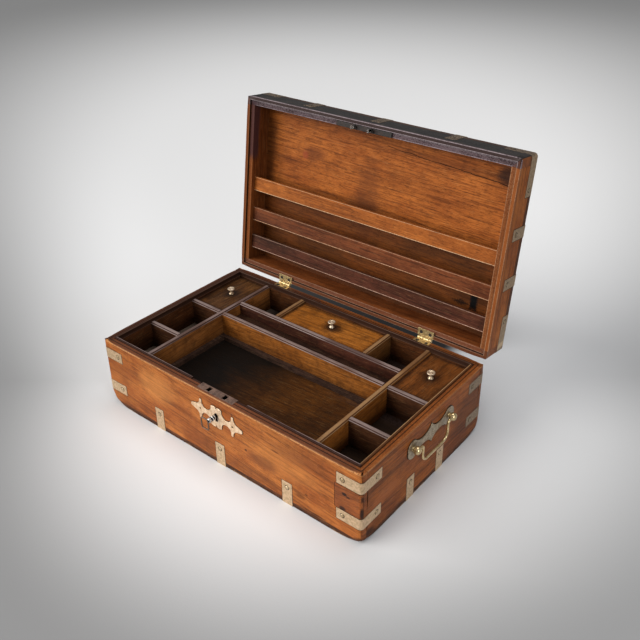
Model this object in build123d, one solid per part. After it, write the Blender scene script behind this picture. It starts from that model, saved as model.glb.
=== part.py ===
from build123d import *
from math import cos, radians, sin, sqrt
import os

# Letter chest: a brass-bound wooden chest with a lift-out compartment tray, a hinged lid with
# a letter rack, a box lock with a key, and a drop handle on each end. Millimetres, +Z up.
# The front faces -Y, the width runs along X, and the origin is the centre of the underside.

# Chest
WIDTH = 560.0
DEPTH = 341.0
BASE_HEIGHT = 134.0
CORNER_RADIUS = 6.0
BASE_WALL = 12.8
BOTTOM_THICKNESS = 9.0
SHELF = 8.0
LIP_RISE = 3.0

# Lid
LID_GAP = 0.3
LID_WALL = 16.4
LID_RISE = 45.5
PANEL_THICKNESS = 11.0
LID_ANGLE = 97.7
REBATE_SIDE_GAP = 0.4
REBATE_DEPTH = 3.3

# Letter rack: distance of each slat's lower edge from the hinge side of the lid
SLATS = {"low": 41.0, "middle": 98.0, "top": 159.0}
SLAT_HEIGHT = 27.0
SLAT_THICKNESS = 6.0
SLAT_SETBACK = 12.0
SLAT_HOUSING = 4.0

# Butt hinges
HINGE_SPACING = 322.0
LEAF_LENGTH = 32.0
LEAF_DEPTH = 13.0
LEAF_THICKNESS = 1.5
KNUCKLE_RADIUS = 3.5
KNUCKLE_CLEARANCE = 0.3
KNUCKLE_LENGTH = 27.0
KNUCKLES = 5
PIN_RADIUS = 1.5
PIN_CLEARANCE = 0.05
LEAF_SCREW_SPACING = 18.0
LEAF_SCREW_LENGTH = 9.0

# Lock, key and the link plate in the lid
LOCK_X = -11.0
LOCK_LENGTH = 78.0
LOCK_FRONT = 4.0
LOCK_DEPTH = 14.5
LOCK_HEIGHT = 48.0
LOCK_WALL = 1.5
STAPLE_SPACING = 35.0
STAPLE_FROM_FRONT = 11.5
STAPLE_THICKNESS = 3.5
STAPLE_WIDTH = 6.4
STAPLE_DROP = 12.0
STAPLE_EYE = 4.8
STAPLE_BRIDGE = 2.0
SLOT_SIDE_CLEARANCE = 2.1
SLOT_END_CLEARANCE = 1.8
LINK_PLATE_ENDS = 18.5
LIP_GAP_CLEARANCE = 3.0
BOLT_TRAVEL = 8.0
BOLT_THICKNESS = 3.0
BOLT_HEIGHT = 6.0
BOLT_RUNNING_GAP = 0.75
KEY_X = -4.5
KEY_Z = 100.0
KEY_RADIUS = 2.6
KEY_CLEARANCE = 0.3
KEYHOLE_CLEARANCE = 1.5
KEY_STAND_OFF = 19.0
KEY_KNUCKLE_RADIUS = 3.4
KEY_BOW_WIDTH = 17.3
KEY_BOW_HEIGHT = 25.0
KEY_BOW_CORNER = 3.5
KEY_BOW_WIRE = 1.2
KEY_BOW_TILT = 13.0
KEY_BOW_OFFSET = (-8.0, -13.0)
KEY_BIT_REACH = 10.0
KEY_BIT_THICKNESS = 2.0
KEY_BIT_WIDTH = 5.0
KEY_TURNED = 31.0
KEY_TO_BOLT = 7.0
TALON_MARGIN = 1.2

# Escutcheon and its pins
ESCUTCHEON_X = -4.5
ESCUTCHEON_Z = 97.0
ESCUTCHEON_TILT = -2.8
ESCUTCHEON_THICKNESS = 1.5
ESCUTCHEON_NOTCH = [(0, 15.5), (1.5, 19.5)]
ESCUTCHEON_CROWN = [(1.5, 19.5), (7.5, 20), (12, 18)]
ESCUTCHEON_SCALLOP = [(12, 18), (23.5, 4.6), (32.8, 16.5)]
ESCUTCHEON_SPUR = [(32.8, 16.5), (35, 19.4), (37.4, 16)]
ESCUTCHEON_NECK = [(37.4, 16), (41, 8.3), (47.5, 5.5)]
ESCUTCHEON_ARM = [(47.5, 5.5), (55, 3.2)]
ESCUTCHEON_TIP = [(55, 3.2), (56.3, 1.7), (56.5, 0)]
ESCUTCHEON_PIN_SPACING = 71.0
PIN_TO_LOCK = 0.5

# Brass straps and their screws
STRAP_WIDTH = 20.0
STRAP_THICKNESS = 1.4
STRAP_PROUD = 0.4
STRAP_END_TO_SCREW = 11.0
BASE_STRAP_HEIGHTS = (41.0, 109.0)
BASE_FRONT_LEG = 45.0
BASE_SIDE_LEG = 47.5
BASE_EDGE_HEIGHT = 44.0
EDGE_RETURN = 30.0
BASE_FRONT_EDGES = (-149.0, -3.0, 140.0)
LID_FRONT_EDGES = (-149.0, 0.0, 145.0)
SIDE_EDGES = (-44.0, 41.0)
LID_STRAP_DROP = 11.5
LID_FRONT_LEG = 48.0
LID_SIDE_LEG = 68.0
LID_EDGE_START = 16.0
SCREW_HEAD_RADIUS = 3.8
SCREW_HEAD_RISE = 1.3
SCREW_RADIUS = 1.6
SCREW_LENGTH = 9.0
SCREW_CLEARANCE = 0.1

# Repair let into the right end of the front
PATCH_WIDTH = 49.0
PATCH_DEPTH = 5.0
PATCH_BOTTOM = 51.5
PATCH_TOP = 97.5

# Drop handles
HANDLE_Y = 8.0
HANDLE_Z = 97.0
HANDLE_PLATE_THICKNESS = 2.0
HANDLE_PLATE_SPUR = [(0, 18), (8, 10), (20, 6.5)]
HANDLE_PLATE_SCALLOP = [(20, 6.5), (33, 7.5), (42.5, 12.5)]
HANDLE_PLATE_LOBE = [(42.5, 12.5), (56, 16), (65, 0)]
POST_SPACING = 102.0
POST_RADIUS = 4.0
POST_HEAD_RADIUS = 5.6
POST_STEM_RADIUS = 2.5
PIVOT_OUT = 9.0
PIVOT_ABOVE_CENTRE = 1.5
BAIL_RADIUS = 2.3
BAIL_HALF_WIDTH = 36.0
BAIL_DROP = 32.0
BAIL_CORNER = 13.0
BAIL_SHOULDER = 4.5
NUT_RADIUS = 5.0
NUT_THICKNESS = 3.0

# Lift-out tray
TRAY_CLEARANCE = 0.5
TRAY_SIDE = 4.0
TRAY_FLOOR_BOTTOM = 73.0
TRAY_FLOOR_THICKNESS = 6.0
TRAY_BELOW_LIP = 0.6
BEARER = 11.0
LEFT_BAY = 70.0
RIGHT_BAY = 76.0
DIVIDER = 9.5
DIVIDER_DROP = 4.0
DIVIDER_ROUND = 3.0
WELL_BACK_Y = 27.5
PEN_BACK_Y = 74.5
COLUMN_DIVIDER_Y = -74.0
BACK_ROW = (-98.0, 100.0)
PEN_FLOOR_DEPTH = 27.0
PEN_FLOOR_THICKNESS = 5.0
LEDGE = 8.0
NOTCH_CLEARANCE = 2.0

# Lidded compartments
COVER_THICKNESS = 6.0
COVER_DROP = 9.0
COVER_CLEARANCE = 0.5
BATTEN = 5.0
KNOB_HEIGHT = 14.5
KNOB_RADIUS = 7.0
KNOB_BASE = 2.0
KNOB_NECK_RADIUS = 2.6
KNOB_HEAD_RADIUS = 4.9
KNOB_STEM_RADIUS = 1.6

# Places that follow from the sizes above
RIGHT = WIDTH / 2
BACK = DEPTH / 2
INSIDE_X = RIGHT - BASE_WALL
INSIDE_Y = BACK - BASE_WALL
LIP_TOP = BASE_HEIGHT + LIP_RISE
LID_BOTTOM = BASE_HEIGHT + LID_GAP
PANEL_BOTTOM = LID_BOTTOM + LID_RISE
LID_TOP = PANEL_BOTTOM + PANEL_THICKNESS
HINGE_Y = BACK + KNUCKLE_RADIUS + KNUCKLE_CLEARANCE
HINGE_Z = BASE_HEIGHT + LID_GAP / 2
LOCK_LEFT = LOCK_X - LOCK_LENGTH / 2
LOCK_RIGHT = LOCK_X + LOCK_LENGTH / 2
LOCK_Y = (-BACK + LOCK_FRONT, -BACK + LOCK_FRONT + LOCK_DEPTH)
LOCK_BOTTOM = BASE_HEIGHT - LOCK_HEIGHT
STAPLE_Y = -BACK + STAPLE_FROM_FRONT
STAPLES_X = (LOCK_X - STAPLE_SPACING / 2, LOCK_X + STAPLE_SPACING / 2)
LINK_X = (LOCK_LEFT - LINK_PLATE_ENDS, LOCK_RIGHT + LINK_PLATE_ENDS)
LINK_Y = (-BACK + SHELF, -BACK + LID_WALL)
TRAY_X = INSIDE_X - TRAY_CLEARANCE
TRAY_Y = INSIDE_Y - TRAY_CLEARANCE
TRAY_FLOOR = TRAY_FLOOR_BOTTOM + TRAY_FLOOR_THICKNESS
TRAY_TOP = LIP_TOP - TRAY_BELOW_LIP
BAY_X = TRAY_X - TRAY_SIDE
BAY_Y = TRAY_Y - TRAY_SIDE
DIVIDER_TOP = BASE_HEIGHT - DIVIDER_DROP
LEFT_WALL = (-BAY_X + LEFT_BAY, -BAY_X + LEFT_BAY + DIVIDER)
RIGHT_WALL = (BAY_X - RIGHT_BAY - DIVIDER, BAY_X - RIGHT_BAY)
WELL_BACK = (WELL_BACK_Y - DIVIDER / 2, WELL_BACK_Y + DIVIDER / 2)
PEN_BACK = (PEN_BACK_Y - DIVIDER / 2, PEN_BACK_Y + DIVIDER / 2)
COVER_TOP = BASE_HEIGHT - COVER_DROP
COVER_BOTTOM = COVER_TOP - COVER_THICKNESS
PIVOT_X = RIGHT + PIVOT_OUT
PIVOT_Z = HANDLE_Z + PIVOT_ABOVE_CENTRE
FULL_KEY_TURN = 360.0 - KEY_TURNED
ESCUTCHEON_PIN_LENGTH = ESCUTCHEON_THICKNESS + LOCK_FRONT - PIN_TO_LOCK
HINGE_AXIS = Axis((0, HINGE_Y, HINGE_Z), (1, 0, 0))

# How far a cutting block runs on beyond the face it cuts
OVERRUN = 1.0


def block(x, y, z):
    """A straight block between the low and high value on each axis."""
    size = Box(abs(x[1] - x[0]), abs(y[1] - y[0]), abs(z[1] - z[0]))
    return Pos((x[0] + x[1]) / 2, (y[0] + y[1]) / 2, (z[0] + z[1]) / 2) * size


def prism(inset, z):
    """The chest's footprint with round corners, drawn in by the inset."""
    radius = CORNER_RADIUS - inset
    plan = RectangleRounded(WIDTH - 2 * inset, DEPTH - 2 * inset, radius)
    return extrude(Pos(0, 0, z[0]) * plan, z[1] - z[0])


def rod(start, direction, radius, length):
    """A round bar from a point along a direction."""
    face = Plane(origin=start, z_dir=direction) * Circle(radius)
    return extrude(face, length, dir=direction)


def taper(start, direction, radius, far_radius, length):
    """A cone from a point along a direction."""
    cone = Cone(radius, far_radius, length, align=(Align.CENTER, Align.CENTER, Align.MIN))
    return Plane(origin=start, z_dir=direction) * cone


def reverse(direction):
    return tuple(-d for d in direction)


def opened(shape):
    """Swings a piece of the closed lid to its open rest position."""
    return shape.rotate(HINGE_AXIS, -LID_ANGLE)


def cut(shape, tools):
    """Takes each tool that reaches the shape out of it."""
    for tool in tools:
        shape = shape - tool
    return shape


def save(name, *pieces):
    """Writes one node, with every piece as its own solid."""
    solids = [solid for piece in pieces for solid in piece.solids()]
    export_step(Compound(solids), f"parts/{name}.step")


# Screws

def domed_screw(point, out, length=SCREW_LENGTH):
    """A screw whose domed head stands on the metal that it holds."""
    head = taper(point, out, SCREW_HEAD_RADIUS, SCREW_HEAD_RADIUS / 2, SCREW_HEAD_RISE)
    return head + rod(point, reverse(out), SCREW_RADIUS, length)


def screw_hole(point, out, length=SCREW_LENGTH):
    return rod(point, reverse(out), SCREW_RADIUS + SCREW_CLEARANCE, length + SCREW_CLEARANCE)


def flat_screw(point, out, gap=0.0):
    """A countersunk screw flush with a hinge leaf, or its hole when given a gap."""
    head = taper(point, reverse(out), SCREW_RADIUS * 2 + gap, SCREW_RADIUS + gap, LEAF_THICKNESS)
    return head + rod(point, reverse(out), SCREW_RADIUS + gap, LEAF_SCREW_LENGTH + gap)


# Straps

def corner_straps(z_centre, front_leg, side_leg):
    """The four straps that wrap the corners at one height."""
    z = (z_centre - STRAP_WIDTH / 2, z_centre + STRAP_WIDTH / 2)
    band = prism(-STRAP_PROUD, z) - prism(STRAP_THICKNESS - STRAP_PROUD, z)
    straps = []
    for side in (-1, 1):
        for end in (-1, 1):
            x = sorted((side * (RIGHT - front_leg), side * (RIGHT + OVERRUN)))
            y = sorted((end * (BACK - side_leg), end * (BACK + OVERRUN)))
            straps.append(band & block(x, y, z))
    return straps


def corner_screw_places(z_centre, front_leg, side_leg):
    """One screw near each end of the four corner straps."""
    places = []
    across = RIGHT - front_leg + STRAP_END_TO_SCREW
    along = BACK - side_leg + STRAP_END_TO_SCREW
    for side in (-1, 1):
        for end in (-1, 1):
            places.append(((side * across, end * (BACK + STRAP_PROUD), z_centre), (0, end, 0)))
            places.append(((side * (RIGHT + STRAP_PROUD), end * along, z_centre), (side, 0, 0)))
    return places


def edge_strap(turn, place, upright, lying):
    """An angle strap over an edge, drawn on the front and turned to its side of the chest."""
    reach = BACK if turn in (0, 180) else RIGHT
    x = (place - STRAP_WIDTH / 2, place + STRAP_WIDTH / 2)
    face = block(x, (-reach - STRAP_PROUD, -reach - STRAP_PROUD + STRAP_THICKNESS), upright)
    back = block(x, (-reach - STRAP_PROUD, -reach + EDGE_RETURN), lying)
    return Rot(0, 0, turn) * (face + back)


def around(front_places):
    """The turn and place of each angle strap on the four sides."""
    places = [(0, x) for x in front_places] + [(180, -x) for x in front_places]
    places += [(90, y) for y in SIDE_EDGES] + [(270, -y) for y in SIDE_EDGES]
    return places


def turned(turn, vector):
    angle = radians(turn)
    x, y, z = vector
    return (x * cos(angle) - y * sin(angle), x * sin(angle) + y * cos(angle), z)


def face_screw_place(turn, place, z):
    """A screw in the upright leg of an angle strap."""
    reach = BACK if turn in (0, 180) else RIGHT
    return (turned(turn, (place, -reach - STRAP_PROUD, z)), turned(turn, (0, -1, 0)))


def base_straps():
    corners = []
    for height in BASE_STRAP_HEIGHTS:
        corners += corner_straps(height, BASE_FRONT_LEG, BASE_SIDE_LEG)
    edges = [
        edge_strap(turn, place, (0, BASE_EDGE_HEIGHT), (0, STRAP_THICKNESS))
        for turn, place in around(BASE_FRONT_EDGES)
    ]
    places = []
    for height in BASE_STRAP_HEIGHTS:
        places += corner_screw_places(height, BASE_FRONT_LEG, BASE_SIDE_LEG)
    screw_z = BASE_EDGE_HEIGHT - STRAP_END_TO_SCREW
    places += [face_screw_place(turn, place, screw_z) for turn, place in around(BASE_FRONT_EDGES)]
    return corners, edges, places


def lid_straps():
    height = LID_TOP - LID_STRAP_DROP
    corners = corner_straps(height, LID_FRONT_LEG, LID_SIDE_LEG)
    top = LID_TOP + STRAP_PROUD
    upright = (LID_BOTTOM + LID_EDGE_START, top)
    lying = (top - STRAP_THICKNESS, top)
    edges = [edge_strap(turn, place, upright, lying) for turn, place in around(LID_FRONT_EDGES)]
    places = corner_screw_places(height, LID_FRONT_LEG, LID_SIDE_LEG)
    screw_z = upright[0] + STRAP_END_TO_SCREW
    for turn, place in around(LID_FRONT_EDGES):
        reach = BACK if turn in (0, 180) else RIGHT
        places.append(face_screw_place(turn, place, screw_z))
        inward = turned(turn, (place, -reach + EDGE_RETURN - STRAP_END_TO_SCREW, top))
        places.append((inward, (0, 0, 1)))
    return corners, edges, places


# Lock and key

def keyhole(y, gap):
    """A round hole with a slot below it, wide enough for the key's bit."""
    barrel = rod((KEY_X, y[0], KEY_Z), (0, 1, 0), KEY_RADIUS + gap, y[1] - y[0])
    half = KEY_BIT_THICKNESS / 2 + gap
    slot = block((KEY_X - half, KEY_X + half), y, (KEY_Z - KEY_BIT_REACH - gap, KEY_Z))
    return barrel + slot


def lock_block():
    return block((LOCK_LEFT, LOCK_RIGHT), LOCK_Y, (LOCK_BOTTOM, BASE_HEIGHT))


def lock_case():
    """The case and its top plate in one piece, open at the back, with two slots for staples."""
    inner_x = (LOCK_LEFT + LOCK_WALL, LOCK_RIGHT - LOCK_WALL)
    inner_y = (LOCK_Y[0] + LOCK_WALL, LOCK_Y[1])
    case = lock_block() - block(inner_x, inner_y, (LOCK_BOTTOM + LOCK_WALL, BASE_HEIGHT - LOCK_WALL))
    half_x = STAPLE_THICKNESS / 2 + SLOT_SIDE_CLEARANCE
    half_y = STAPLE_WIDTH / 2 + SLOT_END_CLEARANCE
    for x in STAPLES_X:
        slot_y = (STAPLE_Y - half_y, STAPLE_Y + half_y)
        case = case - block((x - half_x, x + half_x), slot_y, (BASE_HEIGHT - 2 * LOCK_WALL, BASE_HEIGHT))
    return case - keyhole((LOCK_Y[0], LOCK_Y[0] + LOCK_WALL), KEY_CLEARANCE)


def lock_cover():
    """The plate that closes the back of the case."""
    x = (LOCK_LEFT + LOCK_WALL, LOCK_RIGHT - LOCK_WALL)
    z = (LOCK_BOTTOM + LOCK_WALL, BASE_HEIGHT - LOCK_WALL)
    return block(x, (LOCK_Y[1] - LOCK_WALL, LOCK_Y[1]), z)


def bolt():
    """A sliding bar with two hooks that pass through the staples' eyes, and the key's talon."""
    y = (STAPLE_Y - BOLT_THICKNESS / 2, STAPLE_Y + BOLT_THICKNESS / 2)
    bar_z = (KEY_Z + KEY_TO_BOLT, KEY_Z + KEY_TO_BOLT + BOLT_HEIGHT)
    eye_z = LID_BOTTOM - STAPLE_DROP + STAPLE_BRIDGE
    hook_z = (eye_z + BOLT_RUNNING_GAP, eye_z + STAPLE_EYE - BOLT_RUNNING_GAP)
    tip = STAPLE_THICKNESS / 2 + BOLT_RUNNING_GAP
    post = tip + BOLT_TRAVEL
    bar_x = (STAPLES_X[0] + tip, STAPLES_X[1] + post + BOLT_HEIGHT)
    body = block(bar_x, y, bar_z)
    for x in STAPLES_X:
        body = body + block((x + post, x + post + BOLT_THICKNESS), y, (bar_z[0], hook_z[1]))
        body = body + block((x + tip, x + post), y, hook_z)
    talon_x = KEY_X + BOLT_TRAVEL * (180.0 - KEY_TURNED) / FULL_KEY_TURN
    sweep_half = sqrt(KEY_BIT_REACH**2 - KEY_TO_BOLT**2)
    half = sweep_half + KEY_BIT_THICKNESS / 2 + TALON_MARGIN
    depth = KEY_BIT_REACH - KEY_TO_BOLT + TALON_MARGIN
    return body - block((talon_x - half, talon_x + half), y, (bar_z[0], bar_z[0] + depth))


def key():
    """Shank and bit, turned a little from upright, with a knuckle for the bow."""
    tip_y = LOCK_Y[1] - 2 * LOCK_WALL
    front = -BACK - KEY_STAND_OFF
    shank = rod((KEY_X, front, KEY_Z), (0, 1, 0), KEY_RADIUS, tip_y - front)
    shank = shank + Pos(KEY_X, front, KEY_Z) * Sphere(KEY_KNUCKLE_RADIUS)
    bit_y = (STAPLE_Y - KEY_BIT_WIDTH / 2, STAPLE_Y + KEY_BIT_WIDTH / 2)
    half = KEY_BIT_THICKNESS / 2
    bit = block((KEY_X - half, KEY_X + half), bit_y, (KEY_Z - KEY_BIT_REACH, KEY_Z))
    turn_axis = Axis((KEY_X, 0, KEY_Z), (0, -1, 0))
    return (shank + bit).rotate(turn_axis, KEY_TURNED) + key_bow(front)


def tilted_plane(x, y, z, tilt):
    """A plane that faces the front, turned by the tilt in degrees."""
    across = (cos(radians(tilt)), 0, sin(radians(tilt)))
    return Plane(origin=(x, y, z), x_dir=across, z_dir=(0, -1, 0))


def key_bow(y):
    """A long wire loop that hangs from the end of the shank."""
    plane = tilted_plane(KEY_X + KEY_BOW_OFFSET[0], y, KEY_Z + KEY_BOW_OFFSET[1], KEY_BOW_TILT)
    path = (plane * RectangleRounded(KEY_BOW_WIDTH, KEY_BOW_HEIGHT, KEY_BOW_CORNER)).face().outer_wire()
    return sweep(Plane(origin=path @ 0, z_dir=path % 0) * Circle(KEY_BOW_WIRE), path=path)


def mirrored_face(*stretches):
    """A flat shape from the stretches of one quarter of its edge: two points a line, three an arc."""
    edges = [Line(*points) if len(points) == 2 else ThreePointArc(*points) for points in stretches]
    edges += [mirror(edge, Plane.XZ) for edge in edges]
    edges += [mirror(edge, Plane.YZ) for edge in edges]
    return make_face(edges)


def escutcheon():
    plane = tilted_plane(ESCUTCHEON_X, -BACK, ESCUTCHEON_Z, ESCUTCHEON_TILT)
    outline = mirrored_face(
        ESCUTCHEON_NOTCH,
        ESCUTCHEON_CROWN,
        ESCUTCHEON_SCALLOP,
        ESCUTCHEON_SPUR,
        ESCUTCHEON_NECK,
        ESCUTCHEON_ARM,
        ESCUTCHEON_TIP,
    )
    plate = extrude(plane * outline, ESCUTCHEON_THICKNESS)
    plate = plate - keyhole((-BACK - ESCUTCHEON_THICKNESS, -BACK), KEYHOLE_CLEARANCE)
    return cut(plate, [screw_hole(*place, ESCUTCHEON_PIN_LENGTH) for place in escutcheon_pin_places()])


def escutcheon_pin_places():
    y = -BACK - ESCUTCHEON_THICKNESS
    half_x = ESCUTCHEON_PIN_SPACING / 2 * cos(radians(ESCUTCHEON_TILT))
    half_z = ESCUTCHEON_PIN_SPACING / 2 * sin(radians(ESCUTCHEON_TILT))
    places = [(ESCUTCHEON_X + side * half_x, y, ESCUTCHEON_Z + side * half_z) for side in (-1, 1)]
    return [(place, (0, -1, 0)) for place in places]


def link_plate():
    """The iron plate in the lid's rim, opposite the lock."""
    return block(LINK_X, LINK_Y, (LID_BOTTOM, LID_BOTTOM + REBATE_DEPTH))


def staples():
    """Two eyes that drop into the lock when the lid is shut."""
    pieces = []
    for x in STAPLES_X:
        thick = (x - STAPLE_THICKNESS / 2, x + STAPLE_THICKNESS / 2)
        wide = (STAPLE_Y - STAPLE_WIDTH / 2, STAPLE_Y + STAPLE_WIDTH / 2)
        low = LID_BOTTOM - STAPLE_DROP
        eye = (low + STAPLE_BRIDGE, low + STAPLE_BRIDGE + STAPLE_EYE)
        eye_y = (STAPLE_Y - STAPLE_EYE / 2, STAPLE_Y + STAPLE_EYE / 2)
        pieces.append(block(thick, wide, (low, LID_BOTTOM)) - block(thick, eye_y, eye))
    return pieces


# Hinges

def hinge_centres():
    return (-HINGE_SPACING / 2, HINGE_SPACING / 2)


def leaf_plate(x, z):
    half = LEAF_LENGTH / 2
    return block((x - half, x + half), (BACK - LEAF_DEPTH, BACK), z)


def hinge_leaf(x, z, first):
    """A leaf with every other knuckle round the pin, starting at the first."""
    leaf = leaf_plate(x, z)
    pitch = KNUCKLE_LENGTH / KNUCKLES
    for number in range(first, KNUCKLES, 2):
        start = x - KNUCKLE_LENGTH / 2 + number * pitch + KNUCKLE_CLEARANCE / 2
        length = pitch - KNUCKLE_CLEARANCE
        leaf = leaf + block((start, start + length), (BACK, HINGE_Y), z)
        leaf = leaf + rod((start, HINGE_Y, HINGE_Z), (1, 0, 0), KNUCKLE_RADIUS, length)
    bore_start = (x - LEAF_LENGTH, HINGE_Y, HINGE_Z)
    return leaf - rod(bore_start, (1, 0, 0), PIN_RADIUS + PIN_CLEARANCE, 2 * LEAF_LENGTH)


def lower_leaf_z():
    return (BASE_HEIGHT - LEAF_THICKNESS, BASE_HEIGHT)


def upper_leaf_z():
    return (LID_BOTTOM, LID_BOTTOM + LEAF_THICKNESS)


def leaf_screw_places(z, out):
    y = BACK - LEAF_DEPTH / 2
    half = LEAF_SCREW_SPACING / 2
    return [((x + side * half, y, z), out) for x in hinge_centres() for side in (-1, 1)]


def hinge_pin(x):
    half = KNUCKLE_LENGTH / 2
    return rod((x - half, HINGE_Y, HINGE_Z), (1, 0, 0), PIN_RADIUS, KNUCKLE_LENGTH)


# Handles

def handle_side(shape, side):
    """Drawn on the right end, and mirrored for the left."""
    return shape if side > 0 else mirror(shape, Plane.YZ)


def post_places():
    half = POST_SPACING / 2
    return (HANDLE_Y - half, HANDLE_Y + half)


def handle_backplate():
    plane = Plane(origin=(RIGHT, HANDLE_Y, HANDLE_Z), x_dir=(0, 1, 0), z_dir=(1, 0, 0))
    outline = mirrored_face(HANDLE_PLATE_SPUR, HANDLE_PLATE_SCALLOP, HANDLE_PLATE_LOBE)
    plate = extrude(plane * outline, HANDLE_PLATE_THICKNESS)
    for y in post_places():
        hole = rod((RIGHT, y, PIVOT_Z), (1, 0, 0), POST_STEM_RADIUS + SCREW_CLEARANCE, PIVOT_OUT)
        plate = plate - hole
    return plate


def handle_post(y):
    """A stem through the wall with a round head that the bail turns in."""
    seat = RIGHT + HANDLE_PLATE_THICKNESS
    post = rod((seat, y, PIVOT_Z), (1, 0, 0), POST_RADIUS, PIVOT_OUT - HANDLE_PLATE_THICKNESS)
    post = post + Pos(PIVOT_X, y, PIVOT_Z) * Sphere(POST_HEAD_RADIUS)
    start = INSIDE_X + NUT_THICKNESS / 2
    post = post + rod((start, y, PIVOT_Z), (1, 0, 0), POST_STEM_RADIUS, seat - start)
    bore_start = (PIVOT_X, y - 2 * POST_HEAD_RADIUS, PIVOT_Z)
    return post - rod(bore_start, (0, 1, 0), BAIL_RADIUS + PIN_CLEARANCE, 4 * POST_HEAD_RADIUS)


def post_holes():
    """The stem's hole through the wall and the nut's recess on the inside."""
    holes = []
    for y in post_places():
        holes.append(rod((INSIDE_X, y, PIVOT_Z), (1, 0, 0), POST_STEM_RADIUS + SCREW_CLEARANCE, BASE_WALL))
        holes.append(rod((INSIDE_X, y, PIVOT_Z), (1, 0, 0), NUT_RADIUS, NUT_THICKNESS))
    return holes


def handle_nut(y):
    start = (INSIDE_X, y, PIVOT_Z)
    nut = rod(start, (1, 0, 0), NUT_RADIUS, NUT_THICKNESS)
    return nut - rod(start, (1, 0, 0), POST_STEM_RADIUS + SCREW_CLEARANCE, NUT_THICKNESS)


def bail():
    """A drop handle: two out-turned ends in the posts, two legs and a bar."""
    end = POST_SPACING / 2 + POST_HEAD_RADIUS
    path = FilletPolyline(
        (PIVOT_X, HANDLE_Y - end, PIVOT_Z),
        (PIVOT_X, HANDLE_Y - BAIL_HALF_WIDTH, PIVOT_Z),
        (PIVOT_X, HANDLE_Y - BAIL_HALF_WIDTH, PIVOT_Z - BAIL_DROP),
        (PIVOT_X, HANDLE_Y + BAIL_HALF_WIDTH, PIVOT_Z - BAIL_DROP),
        (PIVOT_X, HANDLE_Y + BAIL_HALF_WIDTH, PIVOT_Z),
        (PIVOT_X, HANDLE_Y + end, PIVOT_Z),
        radius=[BAIL_SHOULDER, BAIL_CORNER, BAIL_CORNER, BAIL_SHOULDER],
    )
    start = Plane(origin=(PIVOT_X, HANDLE_Y - end, PIVOT_Z), z_dir=(0, 1, 0))
    return sweep(start * Circle(BAIL_RADIUS), path=path)


# Base

def lip(x, y):
    return block(x, y, (BASE_HEIGHT, LIP_TOP))


def lip_gap():
    """Where the lip is left off for the lock's link plate."""
    x = (LINK_X[0] - LIP_GAP_CLEARANCE, LINK_X[1] + LIP_GAP_CLEARANCE)
    return block(x, (-BACK, -INSIDE_Y), (BASE_HEIGHT, LIP_TOP))


def hinge_lip_gaps():
    half = LEAF_LENGTH / 2 + REBATE_SIDE_GAP
    return [block((x - half, x + half), (INSIDE_Y, BACK), (BASE_HEIGHT, LIP_TOP)) for x in hinge_centres()]


def base_long_board(end):
    """The front board for an end of -1 or the back board for 1, with its part of the lip."""
    y = sorted((end * INSIDE_Y, end * BACK))
    board = block((-RIGHT, RIGHT), y, (BOTTOM_THICKNESS, BASE_HEIGHT))
    board = board & prism(0, (BOTTOM_THICKNESS, BASE_HEIGHT))
    lip_y = sorted((end * INSIDE_Y, end * (BACK - SHELF)))
    return board + lip((-RIGHT + SHELF, RIGHT - SHELF), lip_y)


def base_side_board(side):
    x = sorted((side * INSIDE_X, side * RIGHT))
    board = block(x, (-INSIDE_Y, INSIDE_Y), (BOTTOM_THICKNESS, BASE_HEIGHT))
    lip_x = sorted((side * INSIDE_X, side * (RIGHT - SHELF)))
    return board + lip(lip_x, (-INSIDE_Y, INSIDE_Y))


def patch_block():
    x = (RIGHT - PATCH_WIDTH, RIGHT + OVERRUN)
    return block(x, (-BACK - OVERRUN, -BACK + PATCH_DEPTH), (PATCH_BOTTOM, PATCH_TOP))


def make_base():
    corners, edges, places = base_straps()
    holes = [screw_hole(*place) for place in places]
    fittings = corners + edges + holes

    front = base_long_board(-1) - lip_gap()
    patch = front & patch_block()
    front_tools = [patch_block(), lock_block(), keyhole((-BACK, LOCK_Y[0]), KEYHOLE_CLEARANCE)]
    pins = escutcheon_pin_places()
    front_tools += [screw_hole(*place, ESCUTCHEON_PIN_LENGTH) for place in pins]
    save("base_front_board", cut(front, front_tools + fittings))
    save("front_patch", cut(patch, fittings))

    back_tools = hinge_lip_gaps() + [leaf_plate(x, lower_leaf_z()) for x in hinge_centres()]
    places_low = leaf_screw_places(BASE_HEIGHT, (0, 0, 1))
    leaf_holes = [flat_screw(*place, gap=SCREW_CLEARANCE) for place in places_low]
    save("base_back_board", cut(base_long_board(1), back_tools + leaf_holes + fittings))

    for side, name in ((-1, "left"), (1, "right")):
        handle_holes = [handle_side(hole, side) for hole in post_holes()]
        save(f"base_{name}_board", cut(base_side_board(side), handle_holes + fittings))
    save("base_bottom_board", cut(prism(0, (0, BOTTOM_THICKNESS)), fittings))

    bearer_x = (INSIDE_X - BEARER, INSIDE_X)
    bearer = block(bearer_x, (-INSIDE_Y, INSIDE_Y), (TRAY_FLOOR_BOTTOM - BEARER, TRAY_FLOOR_BOTTOM))
    save("tray_bearers", bearer, mirror(bearer, Plane.YZ))

    save("base_corner_straps", *[cut(strap, holes) for strap in corners])
    save("base_edge_straps", *[cut(strap, holes) for strap in edges])
    save("base_strap_screws", *[domed_screw(*place) for place in places])

    lower = [hinge_leaf(x, lower_leaf_z(), 0) for x in hinge_centres()]
    save("hinge_lower_leaves", *[cut(leaf, leaf_holes) for leaf in lower])
    save("hinge_pins", *[hinge_pin(x) for x in hinge_centres()])
    save("hinge_lower_screws", *[flat_screw(*place) for place in places_low])


def make_lock():
    save("lock_case", lock_case())
    save("lock_cover", lock_cover())
    save("lock_bolt", bolt())
    save("key", key())
    save("escutcheon", escutcheon())
    pins = escutcheon_pin_places()
    save("escutcheon_pins", *[domed_screw(*place, ESCUTCHEON_PIN_LENGTH) for place in pins])


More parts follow.
